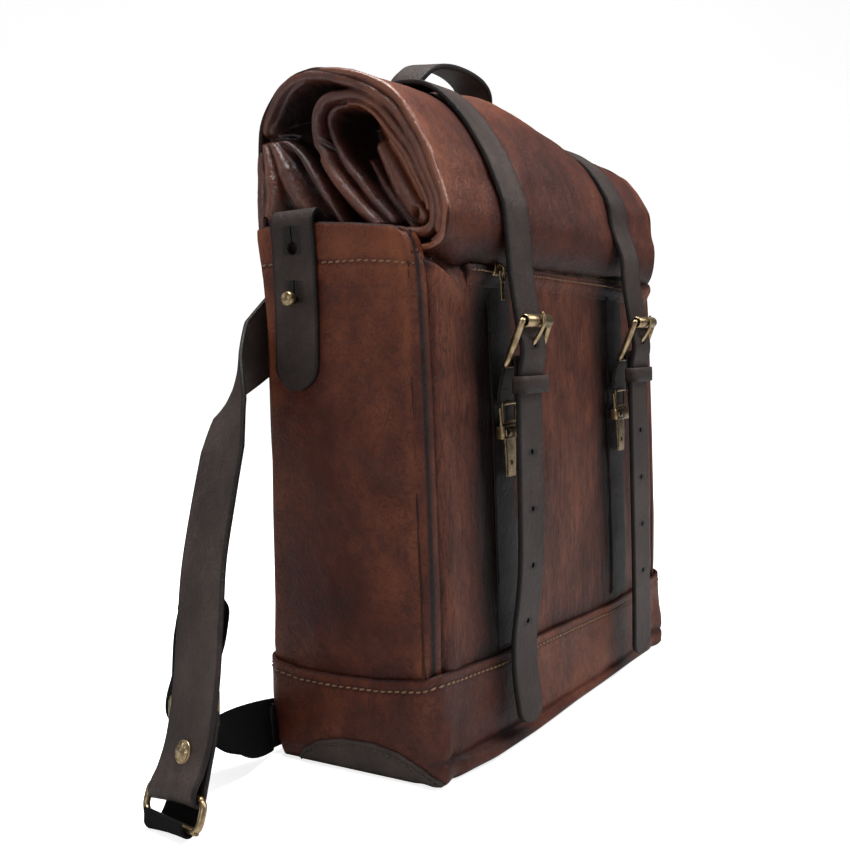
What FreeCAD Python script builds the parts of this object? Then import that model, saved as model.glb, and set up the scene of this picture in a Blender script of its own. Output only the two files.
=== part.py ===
import FreeCAD, Part
import math
import os

import Sketcher
from FreeCAD import Placement, Rotation, Vector

# Roll-top leather backpack. Millimetres. Front faces -Y, +X is the bag's left-hand side seen
# from behind, +Z is up, and the origin is the middle of the base, on the ground.

doc = FreeCAD.newDocument("leather_backpack")
sheet = doc.addObject("Spreadsheet::Sheet", "Dim")

DIMENSIONS = {
    # body
    "body_width": 345, "body_depth": 120, "leather": 2.5, "band_proud": 2.5,
    "base_height": 62, "pocket_slack": 10, "pocket_top": 320, "panel_half": 168,
    "front_top": 303, "back_top": 330, "corner_round": 20, "floor_thick": 3,
    # lining and stiffening
    "lining_half": 152, "lining_wall": 0.8, "lining_front": -54, "lining_back": 50,
    "board_thick": 3, "padding_thick": 6.5, "padding_half": 146,
    "padding_low": 9, "patch_middle": -8.5, "patch_half": 46.5, "patch_rise": 20.6,
    "patch_thick": 2,
    # front straps and hardware
    "strap_offset": 87, "strap_width": 30, "strap_thick": 3.2, "strap_plane": -80,
    "prong_slot_width": 4, "prong_slot_low": 238.5, "prong_slot_long": 14,
    "anchor_width": 26, "anchor_thick": 3, "anchor_top": 289,
    "heel_y": -74, "heel_height": 238, "roller_y": -86, "roller_height": 264,
    "billet_half": 13, "billet_front": 1.6, "billet_back": 2.4, "billet_low": 217,
    "billet_foot_top": 232, "billet_wrap": 4.1, "notch_half": 3, "notch_low": 233,
    "notch_high": 245,
    "frame_rod": 1.8, "frame_half": 18.3, "roller_radius": 4, "roller_half": 16,
    "running_gap": 0.1, "prong_rod": 1.2, "prong_length": 32,
    "hole_radius": 1.6, "hole_pitch": 35, "hole_top": 185,
    "keeper_low": 221, "keeper_high": 231, "keeper_half": 17.4, "keeper_front": -84.8,
    "keeper_wall": 1.6, "keeper_inner_back": -77.2,
    # hook clasps
    "clasp_y": -66, "clasp_low": 193.5, "clasp_high": 201, "loop_low": 203.6,
    "loop_high": 214, "loop_half": 8.5, "loop_rod": 1.2, "plate_low": 170,
    "sleeve_half": 16, "sleeve_deep": 5.5, "eye_half": 5, "lever_offset": 14.2,
    "lever_rod": 1.1, "lever_long": 11, "plate_thick": 2, "rivet_height": 178,
    "rivet_radius": 1.45,
    # pocket tabs
    "tab_y": 26.5, "tab_width": 32, "tab_thick": 3, "tab_low": 227, "tab_high": 325.8,
    "tab_hinge_height": 327, "tab_anchor_low": 255, "tab_arch_lift": 2.3, "tab_stand_off": 2.4,
    "stud_height": 281, "stud_post": 2, "stud_head": 4.5, "stud_reach": 8.5, "stud_clear": 1.2,
    # zip
    "zip_half": 130, "zip_low": 290, "zip_high": 302, "zip_slider_rest": -93,
    "tape_thick": 1.2, "chain_thick": 1.5, "chain_half": 1.5, "slider_half": 4.5,
    "slider_high": 4, "slider_front": 5, "lug_front": 8, "eye_depth": 6.6, "eye_drop": 2.2,
    "eye_radius": 0.9, "pin_radius": 0.8, "pin_half": 2.8, "pull_front": 7.4,
    "pull_back": 5.8, "pull_half": 3.3, "pull_low": 26,
    # handle
    "handle_reach": 50, "handle_rise": 72, "handle_width": 28, "handle_thick": 4,
    "handle_hinge_y": 66, "handle_hinge_height": 373, "handle_lean": 42,
    "foot_front": 64.2, "foot_back": 67.2, "foot_low": 343,
    # shoulder straps
    "shoulder_width": 40, "shoulder_thick": 3.5, "webbing_width": 25, "webbing_thick": 1.5,
    "yoke_half": 112, "yoke_low": 282, "yoke_high": 329, "yoke_thick": 3,
    "ring_rod": 2, "ring_half": 24, "fold_radius": 5, "concho_radius": 6.5,
    "concho_rim": 1.6, "concho_dome": 1, "concho_gap": 1.1,
    "anchor_tab_start": 142, "anchor_tab_low": 4, "anchor_tab_high": 30, "anchor_tab_thick": 3,
    "glide_width": 36, "glide_length": 24, "glide_thick": 2.5, "glide_clear": 0.4,
    "glide_slot_half": 13.5, "glide_slot_offset": 5, "glide_slot_open": 2,
}
for row, (alias, value) in enumerate(DIMENSIONS.items(), start=1):
    sheet.set(f"A{row}", alias)
    sheet.set(f"B{row}", str(value))
    sheet.setAlias(f"B{row}", alias)
doc.recompute()

SIDES = (("left", -1), ("right", 1))


def dim(alias):
    """A driving dimension's value."""
    return float(sheet.get(alias))


def number(expression):
    """The value of an expression in the sheet's dimensions."""
    value = sheet.evalExpression(str(expression))
    return float(getattr(value, "Value", value))


def along(span, sign):
    """A span (low, high) of expressions, mirrored when sign is -1."""
    if sign > 0:
        return span
    return (f"-({span[1]})", f"-({span[0]})")


def bound(obj, **expressions):
    """Bind properties of an object to expressions."""
    for name, expression in expressions.items():
        obj.setExpression(name, str(expression))
    return obj


def place(obj, base_x, base_y, base_z, rotation=None):
    """Bind an object's position to expressions, with a fixed rotation."""
    if rotation is not None:
        obj.Placement = Placement(Vector(0, 0, 0), rotation)
    obj.setExpression("Placement.Base.x", str(base_x))
    obj.setExpression("Placement.Base.y", str(base_y))
    obj.setExpression("Placement.Base.z", str(base_z))
    return obj


def box(label, across, deep, high):
    """A box between pairs of expressions along X, Y and Z."""
    obj = doc.addObject("Part::Box", label)
    obj.Label = label
    bound(obj, Length=f"({across[1]}) - ({across[0]})", Width=f"({deep[1]}) - ({deep[0]})",
          Height=f"({high[1]}) - ({high[0]})")
    return place(obj, across[0], deep[0], high[0])


ALONG_X = Rotation(Vector(0, 1, 0), 90)
ALONG_Y = Rotation(Vector(1, 0, 0), -90)
ALONG_Z = Rotation()


def rod(label, radius, length, start, rotation):
    """A cylinder of a bound radius and length that starts at a bound point."""
    obj = doc.addObject("Part::Cylinder", label)
    obj.Label = label
    bound(obj, Radius=radius, Height=length)
    return place(obj, *start, rotation)


def ball(label, radius, centre, rotation=ALONG_Z):
    obj = doc.addObject("Part::Sphere", label)
    obj.Label = label
    bound(obj, Radius=radius)
    return place(obj, *centre, rotation)


def cut(label, base, tool):
    obj = doc.addObject("Part::Cut", label)
    obj.Label = label
    obj.Base = base
    obj.Tool = tool
    return obj


def fuse(label, shapes):
    obj = doc.addObject("Part::MultiFuse", label)
    obj.Label = label
    obj.Shapes = shapes
    return obj


def group(label, shapes):
    """Separate identical solids that share one node."""
    obj = doc.addObject("Part::Compound", label)
    obj.Label = label
    obj.Links = shapes
    return obj


def round_upright(label, base, radius):
    """Round a box's upright edges."""
    doc.recompute()
    obj = doc.addObject("Part::Fillet", label)
    obj.Label = label
    obj.Base = base
    upright = []
    for index, edge in enumerate(base.Shape.Edges, start=1):
        first, last = edge.Vertexes[0].Point, edge.Vertexes[-1].Point
        if abs(first.z - last.z) > 1 and abs(first.x - last.x) < 0.01:
            upright.append((index, radius, radius))
    obj.Edges = upright
    return obj


def solid(label, shape):
    """A free-form piece whose shape comes from Part's own functions."""
    obj = doc.addObject("Part::Feature", label)
    obj.Label = label
    obj.Shape = shape
    obj.Placement = Placement()
    return obj


def sketched(label, role, outline, length, holes=()):
    """A PartDesign body: a polygon sketch on an origin plane, padded, with round pockets."""
    body = doc.addObject("PartDesign::Body", label)
    body.Label = label
    plane = [f for f in body.Origin.OriginFeatures if f.Role == role][0]
    sketch = body.newObject("Sketcher::SketchObject", label + "_outline")
    sketch.AttachmentSupport = (plane, [""])
    sketch.MapMode = "FlatFace"
    corners = [Vector(number(x), number(y), 0) for x, y in outline]
    count = len(corners)
    for index in range(count):
        sketch.addGeometry(Part.LineSegment(corners[index], corners[(index + 1) % count]), False)
    for index in range(count):
        link = Sketcher.Constraint("Coincident", index, 2, (index + 1) % count, 1)
        sketch.addConstraint(link)
    for index, (x, y) in enumerate(outline):
        for kind, text in (("DistanceX", x), ("DistanceY", y)):
            rule = Sketcher.Constraint(kind, -1, 1, index, 1, number(text))
            where = sketch.addConstraint(rule)
            sketch.setExpression(f"Constraints[{where}]", str(text))
    pad = body.newObject("PartDesign::Pad", label + "_pad")
    pad.Profile = sketch
    pad.Midplane = True
    pad.setExpression("Length", str(length))
    doc.recompute()
    for place_in_row, (x, y, radius) in enumerate(holes):
        round_sketch = body.newObject("Sketcher::SketchObject", f"{label}_hole_{place_in_row}")
        round_sketch.AttachmentSupport = (plane, [""])
        round_sketch.MapMode = "FlatFace"
        centre = Vector(number(x), number(y), 0)
        round_sketch.addGeometry(Part.Circle(centre, Vector(0, 0, 1), number(radius)), False)
        for kind, text in (("DistanceX", x), ("DistanceY", y)):
            rule = Sketcher.Constraint(kind, -1, 1, 0, 3, number(text))
            where = round_sketch.addConstraint(rule)
            round_sketch.setExpression(f"Constraints[{where}]", str(text))
        where = round_sketch.addConstraint(Sketcher.Constraint("Radius", 0, number(radius)))
        round_sketch.setExpression(f"Constraints[{where}]", str(radius))
        pocket = body.newObject("PartDesign::Pocket", f"{label}_pocket_{place_in_row}")
        pocket.Profile = round_sketch
        pocket.Midplane = True
        pocket.Type = "Length"
        pocket.setExpression("Length", f"3 * ({length})")
        doc.recompute()
    return body


def unit(vector):
    result = Vector(vector)
    result.normalize()
    return result


def ribbon(path, thickness, width, middle):
    """A strap in the YZ plane that follows path, extruded along X about middle."""
    spine = Part.BSplineCurve()
    spine.interpolate([Vector(0, y, z) for y, z in path])
    count = 6 * len(path)
    edges = ([], [])
    for step in range(count + 1):
        parameter = spine.FirstParameter
        parameter += (spine.LastParameter - spine.FirstParameter) * step / count
        point = spine.value(parameter)
        direction = unit(spine.tangent(parameter)[0])
        normal = Vector(0, -direction.z, direction.y)
        edges[0].append(point + normal * (thickness / 2))
        edges[1].append(point - normal * (thickness / 2))
    outer = Part.BSplineCurve()
    outer.interpolate(edges[0])
    inner = Part.BSplineCurve()
    inner.interpolate(edges[1][::-1])
    closing = Part.LineSegment(edges[0][-1], edges[1][-1])
    opening = Part.LineSegment(edges[1][0], edges[0][0])
    wire = Part.Wire([c.toShape() for c in (outer, closing, inner, opening)])
    wire.translate(Vector(middle - width / 2, 0, 0))
    return Part.Face(wire).extrude(Vector(width, 0, 0))


def band(stations, width, thickness):
    """A flat strap lofted through stations of (point, width direction)."""
    points = [Vector(*point) for point, _ in stations]
    wires = []
    for index, (_, across) in enumerate(stations):
        before = points[max(index - 1, 0)]
        after = points[min(index + 1, len(points) - 1)]
        tangent = unit(after - before)
        side = Vector(*across)
        side = unit(side - tangent * side.dot(tangent))
        normal = tangent.cross(side)
        corners = []
        for wide, thick in ((-1, -1), (1, -1), (1, 1), (-1, 1)):
            corner = points[index] + side * (wide * width / 2) + normal * (thick * thickness / 2)
            corners.append(corner)
        wires.append(Part.makePolygon(corners + [corners[0]]))
    return Part.makeLoft(wires, True, True)


def mirrored(point, sign):
    """A point or direction given for the -X side, moved to the side of the given sign."""
    return (-point[0] * sign, point[1], point[2])


# ---------------------------------------------------------------- bag body
half = "Dim.body_width / 2"
depth = "Dim.body_depth / 2"
skin = "Dim.leather"


def base_band():
    """The leather band round the base: a ring with rounded upright corners."""
    proud = "Dim.body_depth / 2 + Dim.band_proud"
    outer = box("band_outer", (f"-{half}", half), (f"-({proud})", proud), (0, "Dim.base_height"))
    inner_x = f"{half} - 2 * {skin}"
    inner_y = f"{depth} - {skin}"
    inner = box("band_inner", (f"-({inner_x})", inner_x), (f"-({inner_y})", inner_y),
                ("Dim.floor_thick", "Dim.base_height + 1"))
    rounded = round_upright("band_outer_round", outer, dim("corner_round") + 2 * dim("leather"))
    hollow = round_upright("band_inner_round", inner, dim("corner_round"))
    return cut("base_band", rounded, hollow)


def base_board():
    """The stiffener that lies on the base inside the band."""
    return box("base_board", ("-Dim.lining_half + 4", "Dim.lining_half - 4"),
               ("-48", "48"), ("Dim.floor_thick", "Dim.floor_thick + Dim.board_thick"))


def front_panel():
    return box("front_panel", ("-Dim.panel_half", "Dim.panel_half"),
               (f"-{depth}", f"-{depth} + {skin}"), ("Dim.base_height", "Dim.front_top"))


def back_panel():
    return box("back_panel", ("-Dim.panel_half", "Dim.panel_half"),
               (f"{depth} - {skin}", depth), ("Dim.base_height", "Dim.back_top"))


def back_padding():
    back = f"{depth} - {skin}"
    return box("back_padding", ("-Dim.padding_half", "Dim.padding_half"),
               (f"{back} - Dim.padding_thick", back), ("Dim.padding_low", "Dim.front_top - 3"))


def lining():
    """A cloth sack, open at the top."""
    low = "Dim.floor_thick + Dim.board_thick"
    outer = box("lining_outer", ("-Dim.lining_half", "Dim.lining_half"),
                ("Dim.lining_front", "Dim.lining_back"), (low, "Dim.front_top"))
    inner = box("lining_inner", ("-Dim.lining_half + Dim.lining_wall",
                                 "Dim.lining_half - Dim.lining_wall"),
                ("Dim.lining_front + Dim.lining_wall", "Dim.lining_back - Dim.lining_wall"),
                (f"{low} + Dim.lining_wall", "Dim.front_top + 1"))
    return cut("lining", outer, inner)


def side_gusset(name, sign):
    gusset_out = f"{half} - {skin} - Dim.pocket_slack"
    return box(f"side_gusset_{name}", along((f"{gusset_out} - {skin}", gusset_out), sign),
               (f"-{depth} + {skin}", f"{depth} - {skin}"), ("Dim.base_height", "Dim.front_top"))


def side_pocket(name, sign):
    """The outer pocket: a panel and its two folded edges, open at the top."""
    gusset_out = f"{half} - {skin} - Dim.pocket_slack"
    reach = f"{depth} - {skin} - 0.3"
    shell = box(f"pocket_shell_{name}", along((gusset_out, half), sign),
                (f"-({reach})", reach), ("Dim.base_height", "Dim.pocket_top"))
    hollow = box(f"pocket_hollow_{name}", along((f"{gusset_out} - 1", f"{half} - {skin}"), sign),
                 (f"-({reach}) + {skin}", f"{reach} - {skin}"),
                 (f"Dim.base_height + {skin}", "Dim.pocket_top + 1"))
    return cut(f"side_pocket_{name}", shell, hollow)


ROLL_FRONT = [(-60, 303), (-66, 309), (-70, 319), (-70.3, 329), (-67, 345), (-60.5, 361),
              (-51, 377), (-42, 390), (-32, 400), (-18, 408), (-4, 412.5), (12, 415.5),
              (29, 416.4), (41, 412.5), (54, 400), (61, 385), (63.5, 368), (63, 347), (60, 330)]


def roll_top():
    """The rolled mouth of the bag: one closed oval roll above the panels."""
    outline = Part.BSplineCurve()
    outline.interpolate([Vector(0, y, z) for y, z in ROLL_FRONT])
    inner_y = dim("body_depth") / 2 - dim("leather")
    corners = [Vector(0, *ROLL_FRONT[-1]), Vector(0, inner_y, dim("back_top")),
               Vector(0, inner_y, dim("front_top")), Vector(0, *ROLL_FRONT[0])]
    edges = [outline.toShape()]
    for first, last in zip(corners, corners[1:]):
        edges.append(Part.LineSegment(first, last).toShape())
    reach = dim("body_width") / 2 - dim("leather") - dim("pocket_slack")
    wire = Part.Wire(edges)
    wire.translate(Vector(-reach, 0, 0))
    return solid("roll_top", Part.Face(wire).extrude(Vector(2 * reach, 0, 0)))


def side_patches():
    """Half-moon patches sewn low on both sides."""
    halves = []
    front_end = Vector(0, dim("patch_middle") - dim("patch_half"), 0)
    rear_end = Vector(0, dim("patch_middle") + dim("patch_half"), 0)
    crown = Vector(0, dim("patch_middle"), dim("patch_rise"))
    for name, sign in SIDES:
        arc = Part.Arc(front_end, crown, rear_end).toShape()
        chord = Part.LineSegment(rear_end, front_end).toShape()
        face = Part.Face(Part.Wire([arc, chord]))
        face.translate(Vector(sign * dim("body_width") / 2, 0, 0))
        outward = Vector(sign * dim("patch_thick"), 0, 0)
        halves.append(solid(f"side_patch_{name}", face.extrude(outward)))
    return group("side_patches", halves)


# ---------------------------------------------------------------- pocket tabs
def tab_anchor(name, sign):
    """The tab's fixed end: sewn to the gusset, then over the pocket's mouth."""
    gusset_out = f"{half} - {skin} - Dim.pocket_slack"
    deep = ("Dim.tab_y - Dim.tab_width / 2", "Dim.tab_y + Dim.tab_width / 2")
    low = "Dim.tab_hinge_height + Dim.tab_arch_lift"
    high = f"{low} + Dim.tab_thick"
    strip = box(f"tab_strip_{name}", along((gusset_out, f"{gusset_out} + Dim.tab_thick"), sign),
                deep, ("Dim.tab_anchor_low", high))
    arch = box(f"tab_arch_{name}", along((gusset_out, f"{half} + 2"), sign), deep, (low, high))
    return fuse(f"tab_anchor_{name}", [strip, arch])


def pocket_tab(name, sign):
    """The tab's hanging flap, with a round end and the stud hole."""
    wide = "Dim.tab_width / 2"
    end = f"Dim.tab_low + {wide}"
    outline = [(f"Dim.tab_y - {wide}", end), (f"Dim.tab_y - 0.7 * {wide}", "Dim.tab_low + 5"),
               (f"Dim.tab_y - 0.3 * {wide}", "Dim.tab_low"),
               (f"Dim.tab_y + 0.3 * {wide}", "Dim.tab_low"),
               (f"Dim.tab_y + 0.7 * {wide}", "Dim.tab_low + 5"),
               (f"Dim.tab_y + {wide}", end), (f"Dim.tab_y + {wide}", "Dim.tab_high"),
               (f"Dim.tab_y - {wide}", "Dim.tab_high")]
    hole = ("Dim.tab_y", "Dim.stud_height", "Dim.stud_head + Dim.stud_clear")
    body = sketched(f"pocket_tab_{name}", "YZ_Plane", outline, "Dim.tab_thick", [hole])
    return place(body, f"{sign} * ({half} + Dim.tab_stand_off)", 0, 0)


def pocket_studs():
    """Ball studs set in the pocket panels."""
    studs = []
    for name, sign in SIDES:
        face = f"{sign} * {half}"
        turn = Rotation(Vector(0, 1, 0), 90 * sign)
        post = rod(f"stud_post_{name}", "Dim.stud_post", "Dim.stud_reach - 0.5",
                   (face, "Dim.tab_y", "Dim.stud_height"), turn)
        head = ball(f"stud_ball_{name}", "Dim.stud_head",
                    (f"{face} + {sign} * Dim.stud_reach", "Dim.tab_y", "Dim.stud_height"), turn)
        studs.append(fuse(f"pocket_stud_{name}", [post, head]))
    return group("pocket_studs", studs)


# ---------------------------------------------------------------- front zip
def zip_parts():
    """Tape, chain, slider and pull of the front pocket's zip."""
    middle = "(Dim.zip_low + Dim.zip_high) / 2"
    tape_front = f"-{depth} - Dim.tape_thick"
    tape = box("zip_tape", ("-Dim.zip_half", "Dim.zip_half"), (tape_front, f"-{depth}"),
               ("Dim.zip_low", "Dim.zip_high"))
    chain = box("zip_chain", ("-Dim.zip_half + 3", "Dim.zip_half - 3"),
                (f"{tape_front} - Dim.chain_thick", tape_front),
                (f"{middle} - Dim.chain_half", f"{middle} + Dim.chain_half"))
    rest = "Dim.zip_slider_rest"
    shell = box("slider_shell", (f"{rest} - Dim.slider_half", f"{rest} + Dim.slider_half"),
                (f"-{depth} - Dim.slider_front", f"{tape_front} - 0.3"),
                (f"{middle} - Dim.slider_high", f"{middle} + Dim.slider_high"))
    channel = box("slider_channel", (f"{rest} - 6", f"{rest} + 6"),
                  (f"{tape_front} - Dim.chain_thick - 0.3", f"-{depth}"),
                  (f"{middle} - Dim.chain_half - 0.3", f"{middle} + Dim.chain_half + 0.3"))
    slider_body = cut("slider_body", shell, channel)
    lug = box("slider_lug", (f"{rest} - 1.4", f"{rest} + 1.4"),
              (f"-{depth} - Dim.lug_front", f"-{depth} - Dim.slider_front"),
              (f"{middle} - Dim.slider_high", middle))
    lugged = fuse("slider_lugged", [slider_body, lug])
    hinge_y = f"-{depth} - Dim.eye_depth"
    hinge_z = f"{middle} - Dim.eye_drop"
    eye = rod("slider_eye", "Dim.eye_radius", 6, (f"{rest} - 3", hinge_y, hinge_z), ALONG_X)
    slider = cut("zip_slider", lugged, eye)
    pin = rod("pull_pin", "Dim.pin_radius", "2 * Dim.pin_half",
              (f"{rest} - Dim.pin_half", hinge_y, hinge_z), ALONG_X)
    pull_deep = (f"-{depth} - Dim.pull_front", f"-{depth} - Dim.pull_back")
    arms = []
    for name, sign in SIDES:
        reach = along(("1.9", "Dim.pull_half"), sign)
        arms.append(box(f"pull_arm_{name}", (f"{rest} + {reach[0]}", f"{rest} + {reach[1]}"),
                        pull_deep, (f"{middle} - 10", f"{middle} - 1.4")))
    blade = box("pull_blade", (f"{rest} - Dim.pull_half", f"{rest} + Dim.pull_half"), pull_deep,
                (f"{middle} - Dim.pull_low", f"{middle} - 8"))
    pull = fuse("zip_pull", [pin, *arms, blade])
    return [tape, chain, slider, pull]


# ---------------------------------------------------------------- front straps
STRAP_OVER = [(65.8, 352), (66.2, 370), (64, 387), (57, 402), (43, 415.6), (29, 419),
              (11, 418.6), (-6, 416.5), (-20, 412), (-34, 404), (-45, 393), (-54, 379),
              (-63.3, 363), (-70, 347), (-73.5, 332), (-74.6, 318), (-75.8, 300),
              (-77.6, 282), (-79.5, 268), (-80, 258), (-80, 240), (-80, 220.5)]
TAIL_CURLED = [(-80, 217.4), (-80, 190), (-80, 150), (-80, 118), (-78.2, 95), (-74.5, 72),
               (-73.5, 50), (-75.5, 30), (-77.5, 17)]
TAIL_STRAIGHT = [(-80, 217.4), (-80, 170), (-80, 118), (-79.8, 66), (-79, 17)]


def front_strap(name, sign):
    """The strap from the back of the roll, over it, and through the buckle."""
    middle = sign * dim("strap_offset")
    shape = ribbon(STRAP_OVER, dim("strap_thick"), dim("strap_width"), middle)
    slot_corner = Vector(middle - dim("prong_slot_width") / 2, dim("strap_plane") - 4,
                         dim("prong_slot_low"))
    slot = Part.makeBox(dim("prong_slot_width"), 8, dim("prong_slot_long"), slot_corner)
    return solid(f"front_strap_{name}", shape.cut(slot))


def strap_tail(name, sign):
    """The strap's free end below the keeper, with its punched holes."""
    middle = sign * dim("strap_offset")
    path = TAIL_CURLED if sign < 0 else TAIL_STRAIGHT
    shape = ribbon(path, dim("strap_thick"), dim("strap_width"), middle)
    for count in range(4):
        height = dim("hole_top") - count * dim("hole_pitch")
        punch = Part.makeCylinder(dim("hole_radius"), 20, Vector(middle, -90, height),
                                  Vector(0, 1, 0))
        shape = shape.cut(punch)
    return solid(f"strap_tail_{name}", shape)


def anchor_strap(name, sign):
    """The short strap sewn flat on the front panel behind the buckle and the clasp."""
    middle = f"{sign} * Dim.strap_offset"
    return box(f"anchor_strap_{name}",
               (f"{middle} - Dim.anchor_width / 2", f"{middle} + Dim.anchor_width / 2"),
               (f"-{depth} - Dim.anchor_thick", f"-{depth}"),
               ("Dim.base_height + 2", "Dim.anchor_top"))


def buckle_billet(name, sign):
    """The leather loop that holds the buckle's heel bar."""
    middle = f"{sign} * Dim.strap_offset"
    wide = (f"{middle} - Dim.billet_half", f"{middle} + Dim.billet_half")
    back = "Dim.heel_y + Dim.billet_back"
    plate = box(f"billet_plate_{name}", wide, ("Dim.heel_y - Dim.billet_front", back),
                ("Dim.billet_low", "Dim.heel_height - 2.4"))
    foot = box(f"billet_foot_{name}", wide, (back, f"-{depth} - Dim.anchor_thick"),
               ("Dim.billet_low", "Dim.billet_foot_top"))
    wrap = rod(f"billet_wrap_{name}", "Dim.billet_wrap", "2 * Dim.billet_half",
               (f"{middle} - Dim.billet_half", "Dim.heel_y", "Dim.heel_height"), ALONG_X)
    whole = fuse(f"billet_whole_{name}", [plate, foot, wrap])
    eye = rod(f"billet_eye_{name}", "Dim.frame_rod + Dim.running_gap", 30,
              (f"{middle} - 15", "Dim.heel_y", "Dim.heel_height"), ALONG_X)
    notch = box(f"billet_notch_{name}", (f"{middle} - Dim.notch_half", f"{middle} + Dim.notch_half"),
                ("Dim.heel_y - 6", "Dim.heel_y + 6"), ("Dim.notch_low", "Dim.notch_high"))
    tools = fuse(f"billet_tools_{name}", [eye, notch])
    return cut(f"buckle_billet_{name}", whole, tools)


def strap_keepers():
    """Leather loops that hold the strap ends flat."""
    loops = []
    for name, sign in SIDES:
        middle = f"{sign} * Dim.strap_offset"
        high = ("Dim.keeper_low", "Dim.keeper_high")
        outer = box(f"keeper_outer_{name}",
                    (f"{middle} - Dim.keeper_half", f"{middle} + Dim.keeper_half"),
                    ("Dim.keeper_front", "Dim.heel_y - Dim.billet_front"), high)
        room = "Dim.keeper_half - Dim.keeper_wall"
        inner = box(f"keeper_inner_{name}", (f"{middle} - ({room})", f"{middle} + {room}"),
                    ("Dim.keeper_front + Dim.keeper_wall", "Dim.keeper_inner_back"),
                    ("Dim.keeper_low - 1", "Dim.keeper_high + 1"))
        loops.append(cut(f"strap_keeper_{name}", outer, inner))
    return group("strap_keepers", loops)


def buckle_direction():
    """Unit direction from the heel bar to the roller, and their distance."""
    run = Vector(0, dim("roller_y") - dim("heel_y"), dim("roller_height") - dim("heel_height"))
    return unit(run), run.Length


def buckle_frame(name, sign):
    """The rod frame: heel bar, two side bars and the roller's bar."""
    middle = f"{sign} * Dim.strap_offset"
    low = f"{middle} - Dim.frame_half"
    pieces = []
    for part_name, y, z in (("heel", "Dim.heel_y", "Dim.heel_height"),
                            ("roll", "Dim.roller_y", "Dim.roller_height")):
        pieces.append(rod(f"frame_{part_name}_{name}", "Dim.frame_rod", "2 * Dim.frame_half",
                          (low, y, z), ALONG_X))
        for end in (-1, 1):
            where = f"{middle} + {end} * Dim.frame_half"
            end_name = "low" if end < 0 else "high"
            pieces.append(ball(f"frame_{part_name}_{end_name}_{name}", "Dim.frame_rod",
                               (where, y, z)))
    run, length = buckle_direction()
    turn = Rotation(Vector(0, 0, 1), run)
    for end in (-1, 1):
        where = f"{middle} + {end} * Dim.frame_half"
        end_name = "low" if end < 0 else "high"
        pieces.append(rod(f"frame_side_{end_name}_{name}", "Dim.frame_rod", length,
                          (where, "Dim.heel_y", "Dim.heel_height"), turn))
    return fuse(f"buckle_frame_{name}", pieces)


def buckle_roller(name, sign):
    start = (f"{sign} * Dim.strap_offset - Dim.roller_half", "Dim.roller_y", "Dim.roller_height")
    outer = rod(f"roller_outer_{name}", "Dim.roller_radius", "2 * Dim.roller_half", start, ALONG_X)
    bore = rod(f"roller_bore_{name}", "Dim.frame_rod + Dim.running_gap", "2 * Dim.roller_half",
               start, ALONG_X)
    return cut(f"buckle_roller_{name}", outer, bore)


def buckle_prong(name, sign):
    """The prong: an eye round the heel bar and a rod that rests on the roller."""
    middle = f"{sign} * Dim.strap_offset"
    heel = ("Dim.heel_y", "Dim.heel_height")
    eye = rod(f"prong_eye_{name}", 3.5, 3, (f"{middle} - 1.5", *heel), ALONG_X)
    run, length = buckle_direction()
    touch = dim("roller_radius") + dim("prong_rod") + 0.05
    lift = math.degrees(math.asin(touch / length))
    direction = Rotation(Vector(1, 0, 0), lift).multVec(run)
    shank = rod(f"prong_shank_{name}", "Dim.prong_rod", "Dim.prong_length", (middle, *heel),
                Rotation(Vector(0, 0, 1), direction))
    whole = fuse(f"prong_whole_{name}", [eye, shank])
    bore = rod(f"prong_bore_{name}", "Dim.frame_rod + Dim.running_gap", 5,
               (f"{middle} - 2.5", *heel), ALONG_X)
    return cut(f"buckle_prong_{name}", whole, bore)


# ---------------------------------------------------------------- hook clasps
def clasp_body(name, sign):
    """The clasp's sleeve, its eye for the loop and the two lever bars."""
    middle = f"{sign} * Dim.strap_offset"
    front = f"-{depth} - Dim.anchor_thick"
    sleeve = box(f"clasp_sleeve_{name}",
                 (f"{middle} - Dim.sleeve_half", f"{middle} + Dim.sleeve_half"),
                 (f"{front} - Dim.sleeve_deep", front), ("Dim.clasp_low", "Dim.clasp_high"))
    eye = box(f"clasp_eye_{name}", (f"{middle} - Dim.eye_half", f"{middle} + Dim.eye_half"),
              (f"{front} - Dim.sleeve_deep + 0.2", front), ("Dim.clasp_high", "Dim.loop_low + 2.7"))
    bars = []
    for end, end_name in ((-1, "low"), (1, "high")):
        across = f"{middle} + {end} * Dim.lever_offset"
        bars.append(rod(f"clasp_bar_{end_name}_{name}", "Dim.lever_rod", "Dim.lever_long",
                        (across, "Dim.clasp_y", "Dim.clasp_high"), ALONG_Z))
    whole = fuse(f"clasp_whole_{name}", [sleeve, eye, *bars])
    bore = rod(f"clasp_bore_{name}", "Dim.loop_rod + 0.05", 14,
               (f"{middle} - 7", "Dim.clasp_y", "Dim.loop_low"), ALONG_X)
    return cut(f"clasp_body_{name}", whole, bore)


def clasp_loop(name, sign):
    """The rectangular loop that the clasp's eye holds."""
    middle = f"{sign} * Dim.strap_offset"
    pieces = []
    for bar_name, height in (("low", "Dim.loop_low"), ("high", "Dim.loop_high")):
        pieces.append(rod(f"loop_{bar_name}_{name}", "Dim.loop_rod", "2 * Dim.loop_half",
                          (f"{middle} - Dim.loop_half", "Dim.clasp_y", height), ALONG_X))
    for end, end_name in ((-1, "west"), (1, "east")):
        across = f"{middle} + {end} * Dim.loop_half"
        pieces.append(rod(f"loop_{end_name}_{name}", "Dim.loop_rod",
                          "Dim.loop_high - Dim.loop_low", (across, "Dim.clasp_y", "Dim.loop_low"),
                          ALONG_Z))
        for bar_name, height in (("low", "Dim.loop_low"), ("high", "Dim.loop_high")):
            pieces.append(ball(f"loop_{end_name}_{bar_name}_{name}", "Dim.loop_rod",
                               (across, "Dim.clasp_y", height)))
    return fuse(f"clasp_loop_{name}", pieces)


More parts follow.
